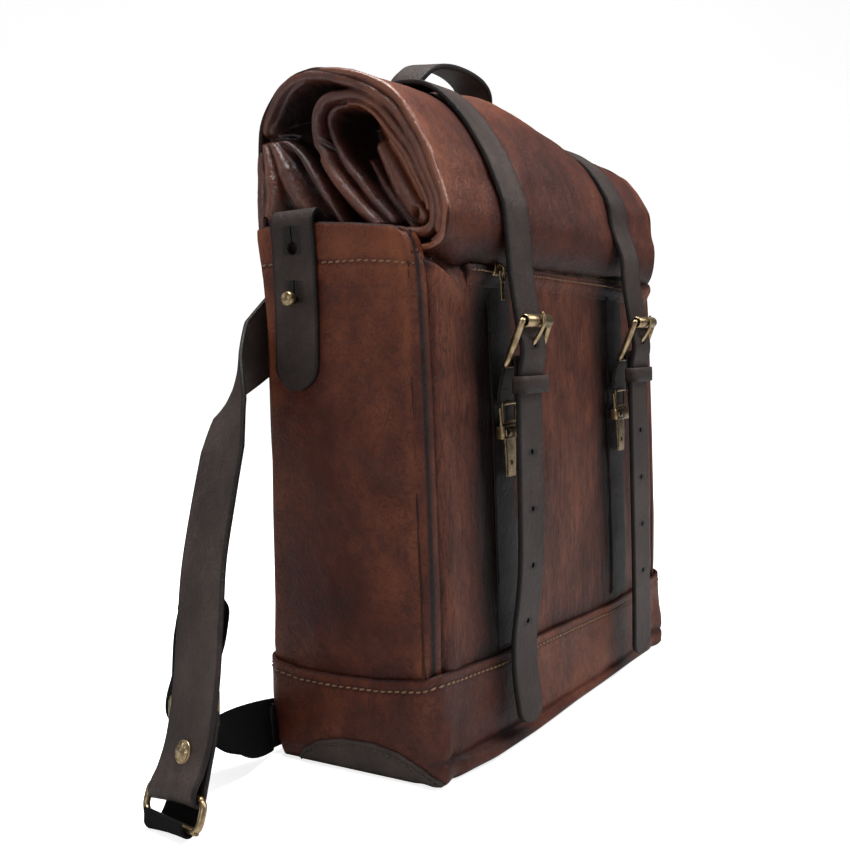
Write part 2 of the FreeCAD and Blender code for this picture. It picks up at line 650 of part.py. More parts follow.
def clasp_plate(name, sign):
    """The tapered plate below the sleeve, with its rivet hole."""
    outline = [(-7, "Dim.clasp_low"), (7, "Dim.clasp_low"), (5.5, "Dim.plate_low"),
               (-5.5, "Dim.plate_low")]
    hole = (0, "Dim.rivet_height", "Dim.rivet_radius + 0.05")
    body = sketched(f"clasp_plate_{name}", "XZ_Plane", outline, "Dim.plate_thick", [hole])
    middle_y = f"-{depth} - Dim.anchor_thick - Dim.plate_thick / 2"
    return place(body, f"{sign} * Dim.strap_offset", middle_y, 0)


def clasp_rivets():
    rivets = []
    for name, sign in SIDES:
        start = (f"{sign} * Dim.strap_offset", f"-{depth} - Dim.anchor_thick - Dim.plate_thick",
                 "Dim.rivet_height")
        rivets.append(rod(f"rivet_shank_{name}", "Dim.rivet_radius", "Dim.plate_thick", start,
                          ALONG_Y))
    return group("clasp_rivets", rivets)


# ---------------------------------------------------------------- handle
HANDLE_FACING = Vector(0, 0.87, 0.49)


def handle_strap():
    """The carrying handle: legs that follow the roll's back, then an arch that turns level."""
    start_height = dim("handle_hinge_height") + 1
    stations = []
    steps = 24
    for step in range(steps + 1):
        angle = math.pi * step / steps
        share = math.sin(angle)
        point = (-math.cos(angle) * dim("handle_reach"),
                 dim("handle_hinge_y") - dim("handle_lean") * share ** 2.4,
                 start_height + dim("handle_rise") * share)
        inward = unit(Vector(math.cos(angle) * dim("handle_rise"), 0, -share * dim("handle_reach")))
        near_foot = math.degrees(min(angle, math.pi - angle))
        grow = min(1, max(0, (near_foot - 40) / 50))
        turn = math.pi / 2 * grow * grow * (3 - 2 * grow)
        across = inward * math.cos(turn) + HANDLE_FACING * math.sin(turn)
        stations.append((point, tuple(across)))
    return solid("handle_strap", band(stations, dim("handle_width"), dim("handle_thick")))


def handle_feet():
    feet = []
    for name, sign in SIDES:
        middle = f"{sign} * Dim.handle_reach"
        feet.append(box(f"handle_foot_{name}",
                        (f"{middle} - Dim.handle_width / 2", f"{middle} + Dim.handle_width / 2"),
                        ("Dim.foot_front", "Dim.foot_back"),
                        ("Dim.foot_low", "Dim.handle_hinge_height - 3")))
    return group("handle_feet", feet)


# ---------------------------------------------------------------- shoulder straps
FLAT = (-0.63, 0, 0.77)
SEWN_PATH = [((-70, 66, 327), FLAT), ((-95, 66, 307.4), FLAT)]
STRAP_PATH = [((-96.3, 66, 306.4), FLAT), ((-130, 66, 279), FLAT), ((-163, 66, 254), FLAT),
              ((-186, 63, 236), (-0.5, -0.5, 0.6)), ((-201, 58.5, 218), (-0.3, -0.85, 0.3)),
              ((-212, 55.5, 195), (-0.18, -0.97, 0.12)), ((-223, 54, 166), (-0.17, -0.98, 0.1)),
              ((-235, 52, 132), (-0.17, -0.98, 0.1)), ((-247, 45, 102), (-0.17, -0.98, 0.1)),
              ((-259, 38, 72), (-0.17, -0.98, 0.1)), ((-269, 35, 44), (-0.17, -0.98, 0.1)),
              ((-277.5, 34, 26), (-0.17, -0.98, 0.1))]
RING_AXIS = unit(Vector(-0.17, -0.98, 0))
RING_TOP = Vector(-280, 34, 21)
RING_LOW = Vector(-286, 34, 6.6)
WEBBING_PATH = [((-291.6, 34, 12), RING_AXIS), ((-290.6, 34, 5), RING_AXIS),
                ((-286.5, 34, 1.6), RING_AXIS), ((-281.5, 34, 4), RING_AXIS),
                ((-273.5, 35, 13), RING_AXIS), ((-268, 37, 28), (-0.1, -1, 0.3)),
                ((-249.5, 51, 80), (-0.1, -1, 0.3)), ((-242, 55, 100), (-0.1, -1, 0.3)),
                ((-234.5, 57, 109), (-0.1, -1, 0.2)), ((-227, 58, 104), (-0.1, -1, 0.1)),
                ((-228, 60, 88), (-0.1, -1, -0.1)), ((-240, 62, 62), (-0.1, -1, -0.1)),
                ((-243, 63, 44), (-0.2, -0.8, -0.5)), ((-232, 64, 28), (-0.2, -0.2, -1)),
                ((-206, 64, 20), (0, 0, -1)), ((-173.6, 64, 17), (0, 0, -1))]
GLIDE_POINT = 0.52


def strap_ends():
    """The straps' upper ends, sewn to the yoke."""
    ends = []
    for name, sign in SIDES:
        stations = [(mirrored(p, sign), mirrored(w, sign)) for p, w in SEWN_PATH]
        shape = band(stations, dim("shoulder_width"), dim("shoulder_thick"))
        ends.append(solid(f"strap_end_{name}", shape))
    return group("strap_ends", ends)


def shoulder_yoke():
    """The leather patch that carries the straps' upper ends."""
    return box("shoulder_yoke", ("-Dim.yoke_half", "Dim.yoke_half"),
               (depth, f"{depth} + Dim.yoke_thick"), ("Dim.yoke_low", "Dim.yoke_high"))


def shoulder_strap(name, sign):
    """A shoulder strap, with the fold at its lower end that holds the ring."""
    stations = [(mirrored(p, sign), mirrored(w, sign)) for p, w in STRAP_PATH]
    shape = band(stations, dim("shoulder_width"), dim("shoulder_thick"))
    axis = Vector(*mirrored(tuple(RING_AXIS), sign))
    top = Vector(*mirrored(tuple(RING_TOP), sign))
    length = dim("shoulder_width")
    fold = Part.makeCylinder(dim("fold_radius"), length, top - axis * (length / 2), axis)
    bore = Part.makeCylinder(dim("ring_rod") + dim("running_gap"), length + 4,
                             top - axis * (length / 2 + 2), axis)
    return solid(f"shoulder_strap_{name}", shape.fuse(fold).cut(bore))


def strap_ring(name, sign):
    """The rectangular ring between the strap and the webbing."""
    axis = Vector(*mirrored(tuple(RING_AXIS), sign))
    top = Vector(*mirrored(tuple(RING_TOP), sign))
    low = Vector(*mirrored(tuple(RING_LOW), sign))
    radius = dim("ring_rod")
    reach = dim("ring_half")
    corners = [top - axis * reach, top + axis * reach, low + axis * reach, low - axis * reach]
    shape = None
    for index, corner in enumerate(corners):
        run = corners[(index + 1) % 4] - corner
        bar = Part.makeCylinder(radius, run.Length, corner, run)
        joint = Part.makeSphere(radius, corner)
        shape = bar.fuse(joint) if shape is None else shape.fuse(bar).fuse(joint)
    return solid(f"strap_ring_{name}", shape.removeSplitter())


def strap_concho(name, sign):
    """The round stud that closes the fold."""
    outward = unit(Vector(*mirrored((-0.93, 0.18, 0.33), sign)))
    middle = Vector(*mirrored((-271.4, 34.7, 38.5), sign)) + outward * (dim("shoulder_thick") / 2)
    disc_start = middle + outward * dim("concho_gap")
    disc = Part.makeCylinder(dim("concho_radius"), dim("concho_rim"), disc_start, outward)
    dome = Part.makeCylinder(0.7 * dim("concho_radius"), dim("concho_dome"),
                             disc_start + outward * dim("concho_rim"), outward)
    return solid(f"strap_concho_{name}", disc.fuse(dome))


def webbing(name, sign):
    """The webbing from the ring, through the slack loop, to the bag's lower corner."""
    stations = [(mirrored(p, sign), mirrored(tuple(w), sign)) for p, w in WEBBING_PATH]
    return solid(f"webbing_{name}", band(stations, dim("webbing_width"), dim("webbing_thick")))


def webbing_anchors():
    """Leather tabs sewn on the base band, which hold the webbing's ends."""
    tabs = []
    for name, sign in SIDES:
        back = f"{depth} + Dim.band_proud"
        tabs.append(box(f"webbing_anchor_{name}",
                        along(("Dim.anchor_tab_start", f"{half} - 2"), sign),
                        (back, f"{back} + Dim.anchor_tab_thick"),
                        ("Dim.anchor_tab_low", "Dim.anchor_tab_high")))
    return group("webbing_anchors", tabs)


def tri_glide(name, sign):
    """The slide on the webbing: a plate with two slots."""
    wide = "Dim.glide_width / 2"
    long = "Dim.glide_length / 2"
    outline = [(f"-{wide}", f"-{long}"), (wide, f"-{long}"), (wide, long), (f"-{wide}", long)]
    blank = sketched(f"glide_blank_{name}", "XY_Plane", outline, "Dim.glide_thick")
    slots = []
    for end, end_name in ((-1, "low"), (1, "high")):
        centre = f"{end} * Dim.glide_slot_offset"
        edges = (f"{centre} - Dim.glide_slot_open", f"{centre} + Dim.glide_slot_open")
        wide_slot = ("-Dim.glide_slot_half", "Dim.glide_slot_half")
        slots.append(box(f"glide_slot_{end_name}_{name}", wide_slot, edges, (-3, 3)))
    body = cut(f"tri_glide_{name}", blank, fuse(f"glide_slots_{name}", slots))
    start = Vector(*mirrored(WEBBING_PATH[5][0], sign))
    end_point = Vector(*mirrored(WEBBING_PATH[6][0], sign))
    run = unit(end_point - start)
    across = Vector(*mirrored(WEBBING_PATH[5][1], sign))
    across = unit(across - run * across.dot(run))
    normal = across.cross(run)
    outward = -1 if normal.x * sign < 0 else 1
    lift = dim("webbing_thick") / 2 + dim("glide_thick") / 2 + dim("glide_clear")
    middle = start + (end_point - start) * GLIDE_POINT
    middle = middle - normal * (outward * lift)
    matrix = FreeCAD.Matrix(across.x, run.x, normal.x, middle.x,
                            across.y, run.y, normal.y, middle.y,
                            across.z, run.z, normal.z, middle.z, 0, 0, 0, 1)
    body.Placement = Placement(matrix)
    return body


# ---------------------------------------------------------------- the assembly
pieces = [base_band(), base_board(), front_panel(), back_panel(), back_padding(), lining(),
          roll_top(), side_patches(), pocket_studs(), strap_keepers(), clasp_rivets(),
          handle_strap(), handle_feet(), strap_ends(), shoulder_yoke(), webbing_anchors()]
pieces += zip_parts()
for side_name, side_sign in SIDES:
    for make in (side_gusset, side_pocket, tab_anchor, pocket_tab, front_strap, strap_tail,
                 anchor_strap, buckle_billet, buckle_frame, buckle_roller, buckle_prong,
                 clasp_body, clasp_loop, clasp_plate, shoulder_strap, strap_ring,
                 strap_concho, webbing, tri_glide):
        pieces.append(make(side_name, side_sign))

doc.recompute()
failed = [obj.Label for obj in doc.Objects if {"Invalid", "Error"} & set(obj.State)]
for piece in pieces:
    if piece.Shape.isNull() or not piece.Shape.isValid():
        failed.append(piece.Label)
if failed:
    raise RuntimeError("objects that did not build: " + ", ".join(sorted(set(failed))))

os.makedirs("parts", exist_ok=True)
for piece in pieces:
    piece.Shape.exportStep(f"parts/{piece.Label}.step")
print(f"{len(pieces)} sub-parts written")
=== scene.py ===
import math
from bisect import bisect_left

import bmesh
import bpy
import numpy as np
from mathutils import Matrix, Vector, noise


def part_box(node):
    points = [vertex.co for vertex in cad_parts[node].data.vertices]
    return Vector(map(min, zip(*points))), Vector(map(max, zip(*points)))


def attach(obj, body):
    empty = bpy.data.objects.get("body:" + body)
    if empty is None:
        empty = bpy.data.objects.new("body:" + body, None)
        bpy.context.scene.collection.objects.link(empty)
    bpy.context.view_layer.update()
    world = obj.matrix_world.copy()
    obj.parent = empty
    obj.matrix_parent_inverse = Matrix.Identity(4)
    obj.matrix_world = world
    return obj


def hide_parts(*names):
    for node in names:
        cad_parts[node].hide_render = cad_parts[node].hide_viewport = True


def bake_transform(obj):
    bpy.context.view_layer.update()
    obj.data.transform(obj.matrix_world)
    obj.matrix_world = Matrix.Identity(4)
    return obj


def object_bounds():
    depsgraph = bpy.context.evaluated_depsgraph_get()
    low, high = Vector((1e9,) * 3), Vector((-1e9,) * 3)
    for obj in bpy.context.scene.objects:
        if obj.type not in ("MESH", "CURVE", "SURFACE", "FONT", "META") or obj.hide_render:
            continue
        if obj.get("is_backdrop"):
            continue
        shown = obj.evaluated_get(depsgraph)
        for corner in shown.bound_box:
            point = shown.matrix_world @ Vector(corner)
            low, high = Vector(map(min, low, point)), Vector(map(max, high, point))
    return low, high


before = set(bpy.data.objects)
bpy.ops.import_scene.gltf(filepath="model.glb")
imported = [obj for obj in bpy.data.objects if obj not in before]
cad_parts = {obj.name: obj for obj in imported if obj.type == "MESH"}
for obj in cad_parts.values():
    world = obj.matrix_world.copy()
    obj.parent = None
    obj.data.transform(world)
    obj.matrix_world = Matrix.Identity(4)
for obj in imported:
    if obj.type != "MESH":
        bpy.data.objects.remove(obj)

# A roll-top leather backpack. Shapes are worked out in millimetres in the bag's own frame (front
# towards -Y, up +Z, base on Z = 0) and turned into metres where a mesh is made.

MM = 0.001
CAD_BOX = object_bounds()
SIDES = (("left", -1), ("right", 1))
STRAP_X = 87
TAB_Y = 26.5
TAB_STITCH_GAP = 17
ACROSS = Vector((1, 0, 0))
UP = Vector((0, 0, 1))
FORWARD = Vector((0, -1, 0))
BACKWARD = Vector((0, 1, 0))


def cad(node):
    """A CAD node's lowest and highest corner in millimetres."""
    low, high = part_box(node)
    return low / MM, high / MM


# ------------------------------------------------------------------ small helpers
def smooth(low, high, value):
    """0 below low, 1 above high, and an S-curve between them."""
    share = min(1, max(0, (value - low) / (high - low)))
    return share * share * (3 - 2 * share)


def bump(centre, spread, value):
    """A smooth hill of height 1 at centre."""
    return math.exp(-((value - centre) / spread) ** 2)


def mix(first, second, share):
    """The value a share of the way from first to second."""
    return first + (second - first) * share


def flip(vector, sign):
    """A -X side point or direction, moved to the side of the given sign."""
    return Vector((-vector[0] * sign, vector[1], vector[2]))


def spread(first, last, count):
    """Evenly spaced values from first to last, both included."""
    return [mix(first, last, step / (count - 1)) for step in range(count)]


def rough(x, y, z, size, seed=0.0):
    """Smooth noise between about -1 and 1, with features of a given size in mm."""
    return noise.noise(Vector((x / size + seed, y / size - seed, z / size + 2 * seed)))


def running_lengths(points):
    """The length of a path up to each of its points."""
    lengths = [0]
    for first, second in zip(points, points[1:]):
        lengths.append(lengths[-1] + (second - first).length)
    return lengths


def span_at(lengths, want):
    """The span of a path that holds a running length, and how far along the span it lies."""
    at = min(len(lengths) - 2, max(0, bisect_left(lengths, want) - 1))
    return at, min(1, (want - lengths[at]) / max(1e-9, lengths[at + 1] - lengths[at]))


def curve_through(points, steps, closed=False):
    """Catmull-Rom points through a list of vectors, evenly spaced along its length."""
    count = len(points)
    spans = count if closed else count - 1
    dense = []
    for span in range(spans):
        if closed:
            around = [points[(span + k) % count] for k in (-1, 0, 1, 2)]
        else:
            around = [points[max(0, span - 1)], points[span], points[span + 1],
                      points[min(count - 1, span + 2)]]
        a, b, c, d = around
        for step in range(12):
            t = step / 12
            dense.append(0.5 * (2 * b + (c - a) * t + (2 * a - 5 * b + 4 * c - d) * t * t
                                + (3 * b - a - 3 * c + d) * t ** 3))
    dense.append(points[0].copy() if closed else points[-1].copy())
    lengths = running_lengths(dense)
    result = []
    for step in range(steps if closed else steps + 1):
        at, share = span_at(lengths, lengths[-1] * step / steps)
        result.append(dense[at].lerp(dense[at + 1], share))
    return result


def grid_faces(rows, columns, start=0, closed_rows=False, closed_columns=True, flip=False):
    """Four-sided faces over a grid of points that are numbered row by row."""
    faces = []
    for row in range(rows if closed_rows else rows - 1):
        this_row = start + row * columns
        next_row = start + (row + 1) % rows * columns
        for column in range(columns if closed_columns else columns - 1):
            after = (column + 1) % columns
            quad = [this_row + column, this_row + after, next_row + after, next_row + column]
            faces.append(quad[::-1] if flip else quad)
    return faces


def end_caps(rows, columns, start=0):
    """The two flat ends of a grid that is closed round its columns."""
    last = start + (rows - 1) * columns
    return [[start + k for k in range(columns)][::-1], [last + k for k in range(columns)]]


def make_mesh(name, vertices, faces, material, tones=None):
    """A smooth-shaded mesh object from points in millimetres."""
    mesh = bpy.data.meshes.new(name)
    mesh.from_pydata([tuple(v * MM) for v in vertices], [], faces)
    mesh.validate()
    mesh.update()
    mesh.polygons.foreach_set("use_smooth", [True] * len(mesh.polygons))
    if tones is not None:
        attribute = mesh.attributes.new("tone", "FLOAT", "POINT")
        attribute.data.foreach_set("value", tones)
    obj = bpy.data.objects.new(name, mesh)
    bpy.context.scene.collection.objects.link(obj)
    mesh.materials.append(material)
    return obj


def join(name, objects):
    """One mesh object from several with the same material."""
    vertices, faces, tones = [], [], []
    for obj in objects:
        start = len(vertices)
        vertices += [v.co / MM for v in obj.data.vertices]
        faces += [[start + i for i in polygon.vertices] for polygon in obj.data.polygons]
        attribute = obj.data.attributes.get("tone")
        if attribute is None:
            tones += [0.5] * len(obj.data.vertices)
        else:
            tones += [item.value for item in attribute.data]
    material = objects[0].data.materials[0]
    for obj in objects:
        mesh = obj.data
        bpy.data.objects.remove(obj)
        bpy.data.meshes.remove(mesh)
    return make_mesh(name, vertices, faces, material, tones)


def settle(obj, body, slot, *nodes):
    """Put a piece on its body and hide the CAD nodes it stands for; slot is not used."""
    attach(obj, body)
    if nodes:
        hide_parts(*nodes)
    return obj


def settle_blend(obj, first, second, start, end, slot, *nodes):
    """Bake a piece's placement into its mesh and hide the CAD nodes it stands for; the two bodies first
    and second, and start and end in millimetres, are not used.
    """
    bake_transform(obj)
    if nodes:
        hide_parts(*nodes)
    return obj


def skin(name, rows, thickness, material, tone=None, closed_rows=False, closed_columns=False,
         flip=False):
    """A sheet of leather: a grid of outer points, an inner face and a rounded rim."""
    height, width = len(rows), len(rows[0])

    def at(i, j):
        i = i % height if closed_rows else min(height - 1, max(0, i))
        j = j % width if closed_columns else min(width - 1, max(0, j))
        return rows[i][j]

    normals = []
    for i in range(height):
        line = []
        for j in range(width):
            normal = (at(i, j + 1) - at(i, j - 1)).cross(at(i + 1, j) - at(i - 1, j))
            if normal.length < 1e-9:
                normal = Vector((0, 0, 1))
            line.append(normal.normalized() * (-1 if flip else 1))
        normals.append(line)
    vertices = [point for row in rows for point in row]
    tones = [tone(point) if tone else 0.5 for point in vertices]
    inner = len(vertices)
    for i in range(height):
        for j in range(width):
            vertices.append(rows[i][j] - normals[i][j] * thickness)
            tones.append(0.2)
    faces = grid_faces(height, width, 0, closed_rows, closed_columns, flip)
    faces += grid_faces(height, width, inner, closed_rows, closed_columns, not flip)

    def rim(loop, closed, outward):
        """Three strips that round the edge between the two faces."""
        middle = []
        for share in (0.15, 0.5, 0.85):
            ring = []
            for index, k in enumerate(loop):
                i, j = divmod(k, width)
                push = outward[index] * thickness * 0.5 * math.sin(math.pi * share)
                ring.append(len(vertices))
                vertices.append(vertices[k] - normals[i][j] * (thickness * share) + push)
                tones.append(0.3)
            middle.append(ring)
        chain = [loop, *middle, [inner + k for k in loop]]
        span = len(loop) if closed else len(loop) - 1
        for first, second in zip(chain, chain[1:]):
            for index in range(span):
                after = (index + 1) % len(loop)
                faces.append([first[index], first[after], second[after], second[index]])

    def direction(k, back):
        return (vertices[k] - vertices[back]).normalized()

    if not closed_rows:
        first = list(range(width))
        rim(first, closed_columns, [direction(k, k + width) for k in first])
        last = [(height - 1) * width + j for j in range(width)]
        rim(last, closed_columns, [direction(k, k - width) for k in last])
    if not closed_columns:
        first = [i * width for i in range(height)]
        rim(first, closed_rows, [direction(k, k + 1) for k in first])
        last = [i * width + width - 1 for i in range(height)]
        rim(last, closed_rows, [direction(k, k - 1) for k in last])
    return tidy_normals(make_mesh(name, vertices, faces, material, tones))


def tidy_normals(obj):
    """Merge doubled points and turn every face outwards."""
    work = bmesh.new()
    work.from_mesh(obj.data)
    bmesh.ops.remove_doubles(work, verts=work.verts, dist=0.00002)
    bmesh.ops.recalc_face_normals(work, faces=work.faces)
    work.to_mesh(obj.data)
    work.free()
    return obj


def sweep(name, path, across, section, material, tone=None, closed=False, scale=None,
          swell=None):
    """A section of (wide, thick) points swept along a path, with the wide axis given.

    scale narrows the section's width and swell its whole size; both take a share of the path."""
    count = len(path)
    vertices, tones = [], []
    size = len(section)
    for index, point in enumerate(path):
        if closed:
            before, after = path[index - 1], path[(index + 1) % count]
        else:
            before, after = path[max(0, index - 1)], path[min(count - 1, index + 1)]
        tangent = (after - before).normalized()
        side = across[index] - tangent * across[index].dot(tangent)
        side.normalize()
        normal = side.cross(tangent)
        share = index / (count if closed else count - 1)
        grow = swell(share) if swell else 1
        wide_scale = grow * scale(share) if scale else grow
        for wide, thick in section:
            vertices.append(point + side * (wide * wide_scale) + normal * (thick * grow))
            tones.append(tone(point, wide) if tone else 0.5)
    faces = grid_faces(count, size, closed_rows=closed)
    if not closed:
        faces += end_caps(count, size)
    return make_mesh(name, vertices, faces, material, tones)


def strap_section(width, thickness, corner=0.9):
    """A flat strap's section with rounded long edges and a fine grid across its faces."""
    half = width / 2
    high = thickness / 2
    across = [-half + corner, -half + corner + 1.5, -half * 0.5, 0, half * 0.5,
              half - corner - 1.5, half - corner]
    section = [(x, high) for x in across]
    section += [(half - 0.3 * corner, high - 0.35 * corner), (half, high * 0.35),
                (half, -high * 0.35), (half - 0.3 * corner, -high + 0.35 * corner)]
    section += [(x, -high) for x in reversed(across)]
    section += [(-half + 0.3 * corner, -high + 0.35 * corner), (-half, -high * 0.35),
                (-half, high * 0.35), (-half + 0.3 * corner, high - 0.35 * corner)]
    return section


def round_section(radius, sides=14):
    """Points round a circle."""
    return [(radius * math.cos(2 * math.pi * k / sides), radius * math.sin(2 * math.pi * k / sides))
            for k in range(sides)]


def frames_along(path, hint, closed=False):
    """Side vectors that stay perpendicular to a path without twisting."""
    sides = []
    side = hint.copy()
    count = len(path)
    for index in range(count):
        if closed:
            tangent = (path[(index + 1) % count] - path[index - 1]).normalized()
        else:
            tangent = (path[min(count - 1, index + 1)] - path[max(0, index - 1)]).normalized()
        side = (side - tangent * side.dot(tangent)).normalized()
        sides.append(side.copy())
    return sides


def rod(name, points, radius, material, closed=False, hint=(1, 0.3, 0.2), steps=None, sides=14):
    """A round bar that follows a smooth path."""
    path = curve_through([Vector(p) for p in points], steps or 8 * len(points), closed)
    across = frames_along(path, Vector(hint), closed)
    return sweep(name, path, across, round_section(radius, sides), material, closed=closed)


def tapered(name, points, radii, material, closed=False, hint=(1, 0.3, 0.2), steps=60, sides=16):
    """A round bar whose radius changes along it."""
    path = curve_through([Vector(p) for p in points], steps, closed)
    across = frames_along(path, Vector(hint), closed)
    stops = radii + radii[:1] if closed else radii

    def radius_at(share):
        place = share * (len(stops) - 1)
        first = min(len(stops) - 2, int(place))
        return mix(stops[first], stops[first + 1], place - first)
    return sweep(name, path, across, round_section(1, sides), material, closed=closed,
                 swell=radius_at)


def lathe(name, base, axis, profile, material, sides=32, hollow=False):
    """A turned piece: profile is (radius, height) along axis from base; a hollow one has a bore."""
    axis = Vector(axis).normalized()
    side = axis.orthogonal().normalized()
    other = axis.cross(side)
    vertices = []
    for radius, height in profile:
        vertices += [Vector(base) + axis * height + side * wide + other * high
                     for wide, high in round_section(max(radius, 0.01), sides)]
    faces = grid_faces(len(profile), sides, closed_rows=hollow)
    if not hollow:
        faces += end_caps(len(profile), sides)
    return make_mesh(name, vertices, faces, material)


def tube(name, start, end, outer_radius, inner_radius, material, sides=40):
    """An open-ended tube with softened rims."""
    axis = Vector(end) - Vector(start)
    length = axis.length
    profile = [(inner_radius, 0.3), (inner_radius + 0.25, 0), (outer_radius - 0.4, 0),
               (outer_radius, 0.4), (outer_radius, length - 0.4), (outer_radius - 0.4, length),
               (inner_radius + 0.25, length), (inner_radius, length - 0.3)]
    return lathe(name, start, axis, profile, material, sides, hollow=True)


def stitches(name, line, outward, material, pitch=5.0, length=3.6, radius=0.55, sink=-0.15):
    """Thread stitches along a line of points; outward gives the surface normal at each."""
    vertices, faces = [], []
    lengths = running_lengths(line)
    sides = 6
    for index in range(int(lengths[-1] / pitch)):
        at, share = span_at(lengths, (index + 0.5) * pitch)
        centre = line[at].lerp(line[at + 1], share)
        normal = outward[at].lerp(outward[min(at + 1, len(outward) - 1)], share).normalized()
        run = (line[at + 1] - line[at]).normalized()
        side = normal.cross(run).normalized()
        slant = side * (0.12 * length)
        start = len(vertices)
        sections = ((-0.5, 0.45), (-0.3, 1.0), (0, 1.15), (0.3, 1.0), (0.5, 0.45))
        for share_along, fat in sections:
            lift = math.cos(share_along * 2.6) * radius - sink - radius * 0.5
            middle = centre + run * (share_along * length) + slant * share_along + normal * lift
            vertices += [middle + side * wide + normal * high
                         for wide, high in round_section(radius * fat, sides)]
        faces += grid_faces(len(sections), sides, start) + end_caps(len(sections), sides, start)
    return make_mesh(name, vertices, faces, material)


# ------------------------------------------------------------------ materials
def new_material(name):
    """A node material with its tree and its shader."""
    material = bpy.data.materials.new(name)
    material.use_nodes = True
    tree = material.node_tree
    return material, tree, tree.nodes["Principled BSDF"]


def node(tree, kind, **values):
    """A shader node with its settings and input values."""
    made = tree.nodes.new(kind)
    for key, value in values.items():
        if hasattr(made, key):
            setattr(made, key, value)
        else:
            made.inputs[key.replace("_", " ")].default_value = value
    return made


def ramp(tree, source, stops):
    """A colour ramp of (place, colour) stops."""
    made = tree.nodes.new("ShaderNodeValToRGB")
    elements = made.color_ramp.elements
    for index, (place, colour) in enumerate(stops):
        element = elements[index] if index < 2 else elements.new(place)
        element.position = place
        element.color = (*colour, 1)
    tree.links.new(source, made.inputs["Fac"])
    return made.outputs["Color"]


def textured(tree, kind, scale, stretch=(1, 1, 1), **values):
    """A texture in object space with its own stretch."""
    place = node(tree, "ShaderNodeTexCoord")
    mapping = node(tree, "ShaderNodeMapping")
    mapping.inputs["Scale"].default_value = stretch
    tree.links.new(place.outputs["Object"], mapping.inputs["Vector"])
    texture = node(tree, kind, **values)
    texture.inputs["Scale"].default_value = scale
    tree.links.new(mapping.outputs["Vector"], texture.inputs["Vector"])
    return texture


def maths(tree, operation, first, second=None):
    """The output of a math node on sockets or numbers."""
    made = node(tree, "ShaderNodeMath", operation=operation)
    for slot_index, value in enumerate((first, second)):
        if value is None:
            continue
        if isinstance(value, (int, float)):
            made.inputs[slot_index].default_value = value
        else:
            tree.links.new(value, made.inputs[slot_index])
    return made.outputs[0]


def bump_from(tree, layers):
    """Chained bump nodes: (height output, strength, distance)."""
    normal = None
    for height, strength, distance in layers:
        made = node(tree, "ShaderNodeBump")
        made.inputs["Strength"].default_value = strength
        made.inputs["Distance"].default_value = distance
        tree.links.new(height, made.inputs["Height"])
        if normal is not None:
            tree.links.new(normal, made.inputs["Normal"])
        normal = made.outputs["Normal"]
    return normal


def mixed(tree, share, first, second):
    """Two colours mixed by a share."""
    made = node(tree, "ShaderNodeMix", data_type="RGBA")
    inputs = [s for s in made.inputs if s.enabled]
    for socket, value in zip(inputs, (share, first, second)):
        if isinstance(value, (int, float)):
            socket.default_value = value
        elif isinstance(value, tuple):
            socket.default_value = (*value, 1)
        else:
            tree.links.new(value, socket)
    return [s for s in made.outputs if s.enabled][0]


def leather(name, dark, middle, light, roughness, grain, wrinkle=(1, 1, 1), coat=0.0, shine=0.4):
    """Aniline leather: cloudy colour, painted light and shade plus burnish from the tone attribute,
    pores and fine creases, the creases' lines painted darker as shade.
    """
    material, tree, shader = new_material(name)
    cloud = textured(tree, "ShaderNodeTexNoise", 11, stretch=(1, 1, 0.7), Detail=6.0,
                     Roughness=0.62, Distortion=0.6)
    blotch = textured(tree, "ShaderNodeTexNoise", 46, Detail=7.0, Roughness=0.7)
    shade = maths(tree, "ADD", maths(tree, "MULTIPLY", cloud.outputs["Fac"], 0.65),
                  maths(tree, "MULTIPLY", blotch.outputs["Fac"], 0.35))
    tone = node(tree, "ShaderNodeAttribute", attribute_name="tone")
    shade = maths(tree, "ADD", shade, maths(tree, "SUBTRACT", tone.outputs["Fac"], 0.5))
    # The fine crease lines (veins) are painted darker: painted shade in the creases.
    veins = textured(tree, "ShaderNodeTexNoise", 105, stretch=wrinkle, Detail=6.0, Roughness=0.7,
                     Distortion=1.4)
    vein = maths(tree, "ABSOLUTE", maths(tree, "SUBTRACT", veins.outputs["Fac"], 0.5))
    vein = maths(tree, "MULTIPLY", maths(tree, "MINIMUM", vein, 0.035), 3.2 * grain)
    shade = maths(tree, "ADD", shade, maths(tree, "SUBTRACT", vein, 0.09 * grain))
    colour = ramp(tree, shade, [(0.22, dark), (0.5, middle), (0.82, light)])
    tree.links.new(colour, shader.inputs["Base Color"])
    pores = textured(tree, "ShaderNodeTexVoronoi", 620, feature="SMOOTH_F1")
    fine = textured(tree, "ShaderNodeTexNoise", 1400, Detail=3.0)
    creases = textured(tree, "ShaderNodeTexNoise", 75, stretch=wrinkle, Detail=5.0,
                       Roughness=0.6, Distortion=0.8)
    crease = maths(tree, "ABSOLUTE", maths(tree, "SUBTRACT", creases.outputs["Fac"], 0.5))
    crease = maths(tree, "MINIMUM", crease, 0.09)
    normal = bump_from(tree, [(vein, 0.3, 0.004), (crease, 0.4 * grain, 0.004),
                              (pores.outputs["Distance"], 0.22 * grain, 0.0006),
                              (fine.outputs["Fac"], 0.2 * grain, 0.0003)])
    tree.links.new(normal, shader.inputs["Normal"])
    spread = maths(tree, "MULTIPLY", blotch.outputs["Fac"], 0.22)
    tree.links.new(maths(tree, "ADD", spread, roughness - 0.11), shader.inputs["Roughness"])
    shader.inputs["Specular IOR Level"].default_value = shine
    shader.inputs["Coat Weight"].default_value = coat
    shader.inputs["Coat Roughness"].default_value = 0.28
    return material


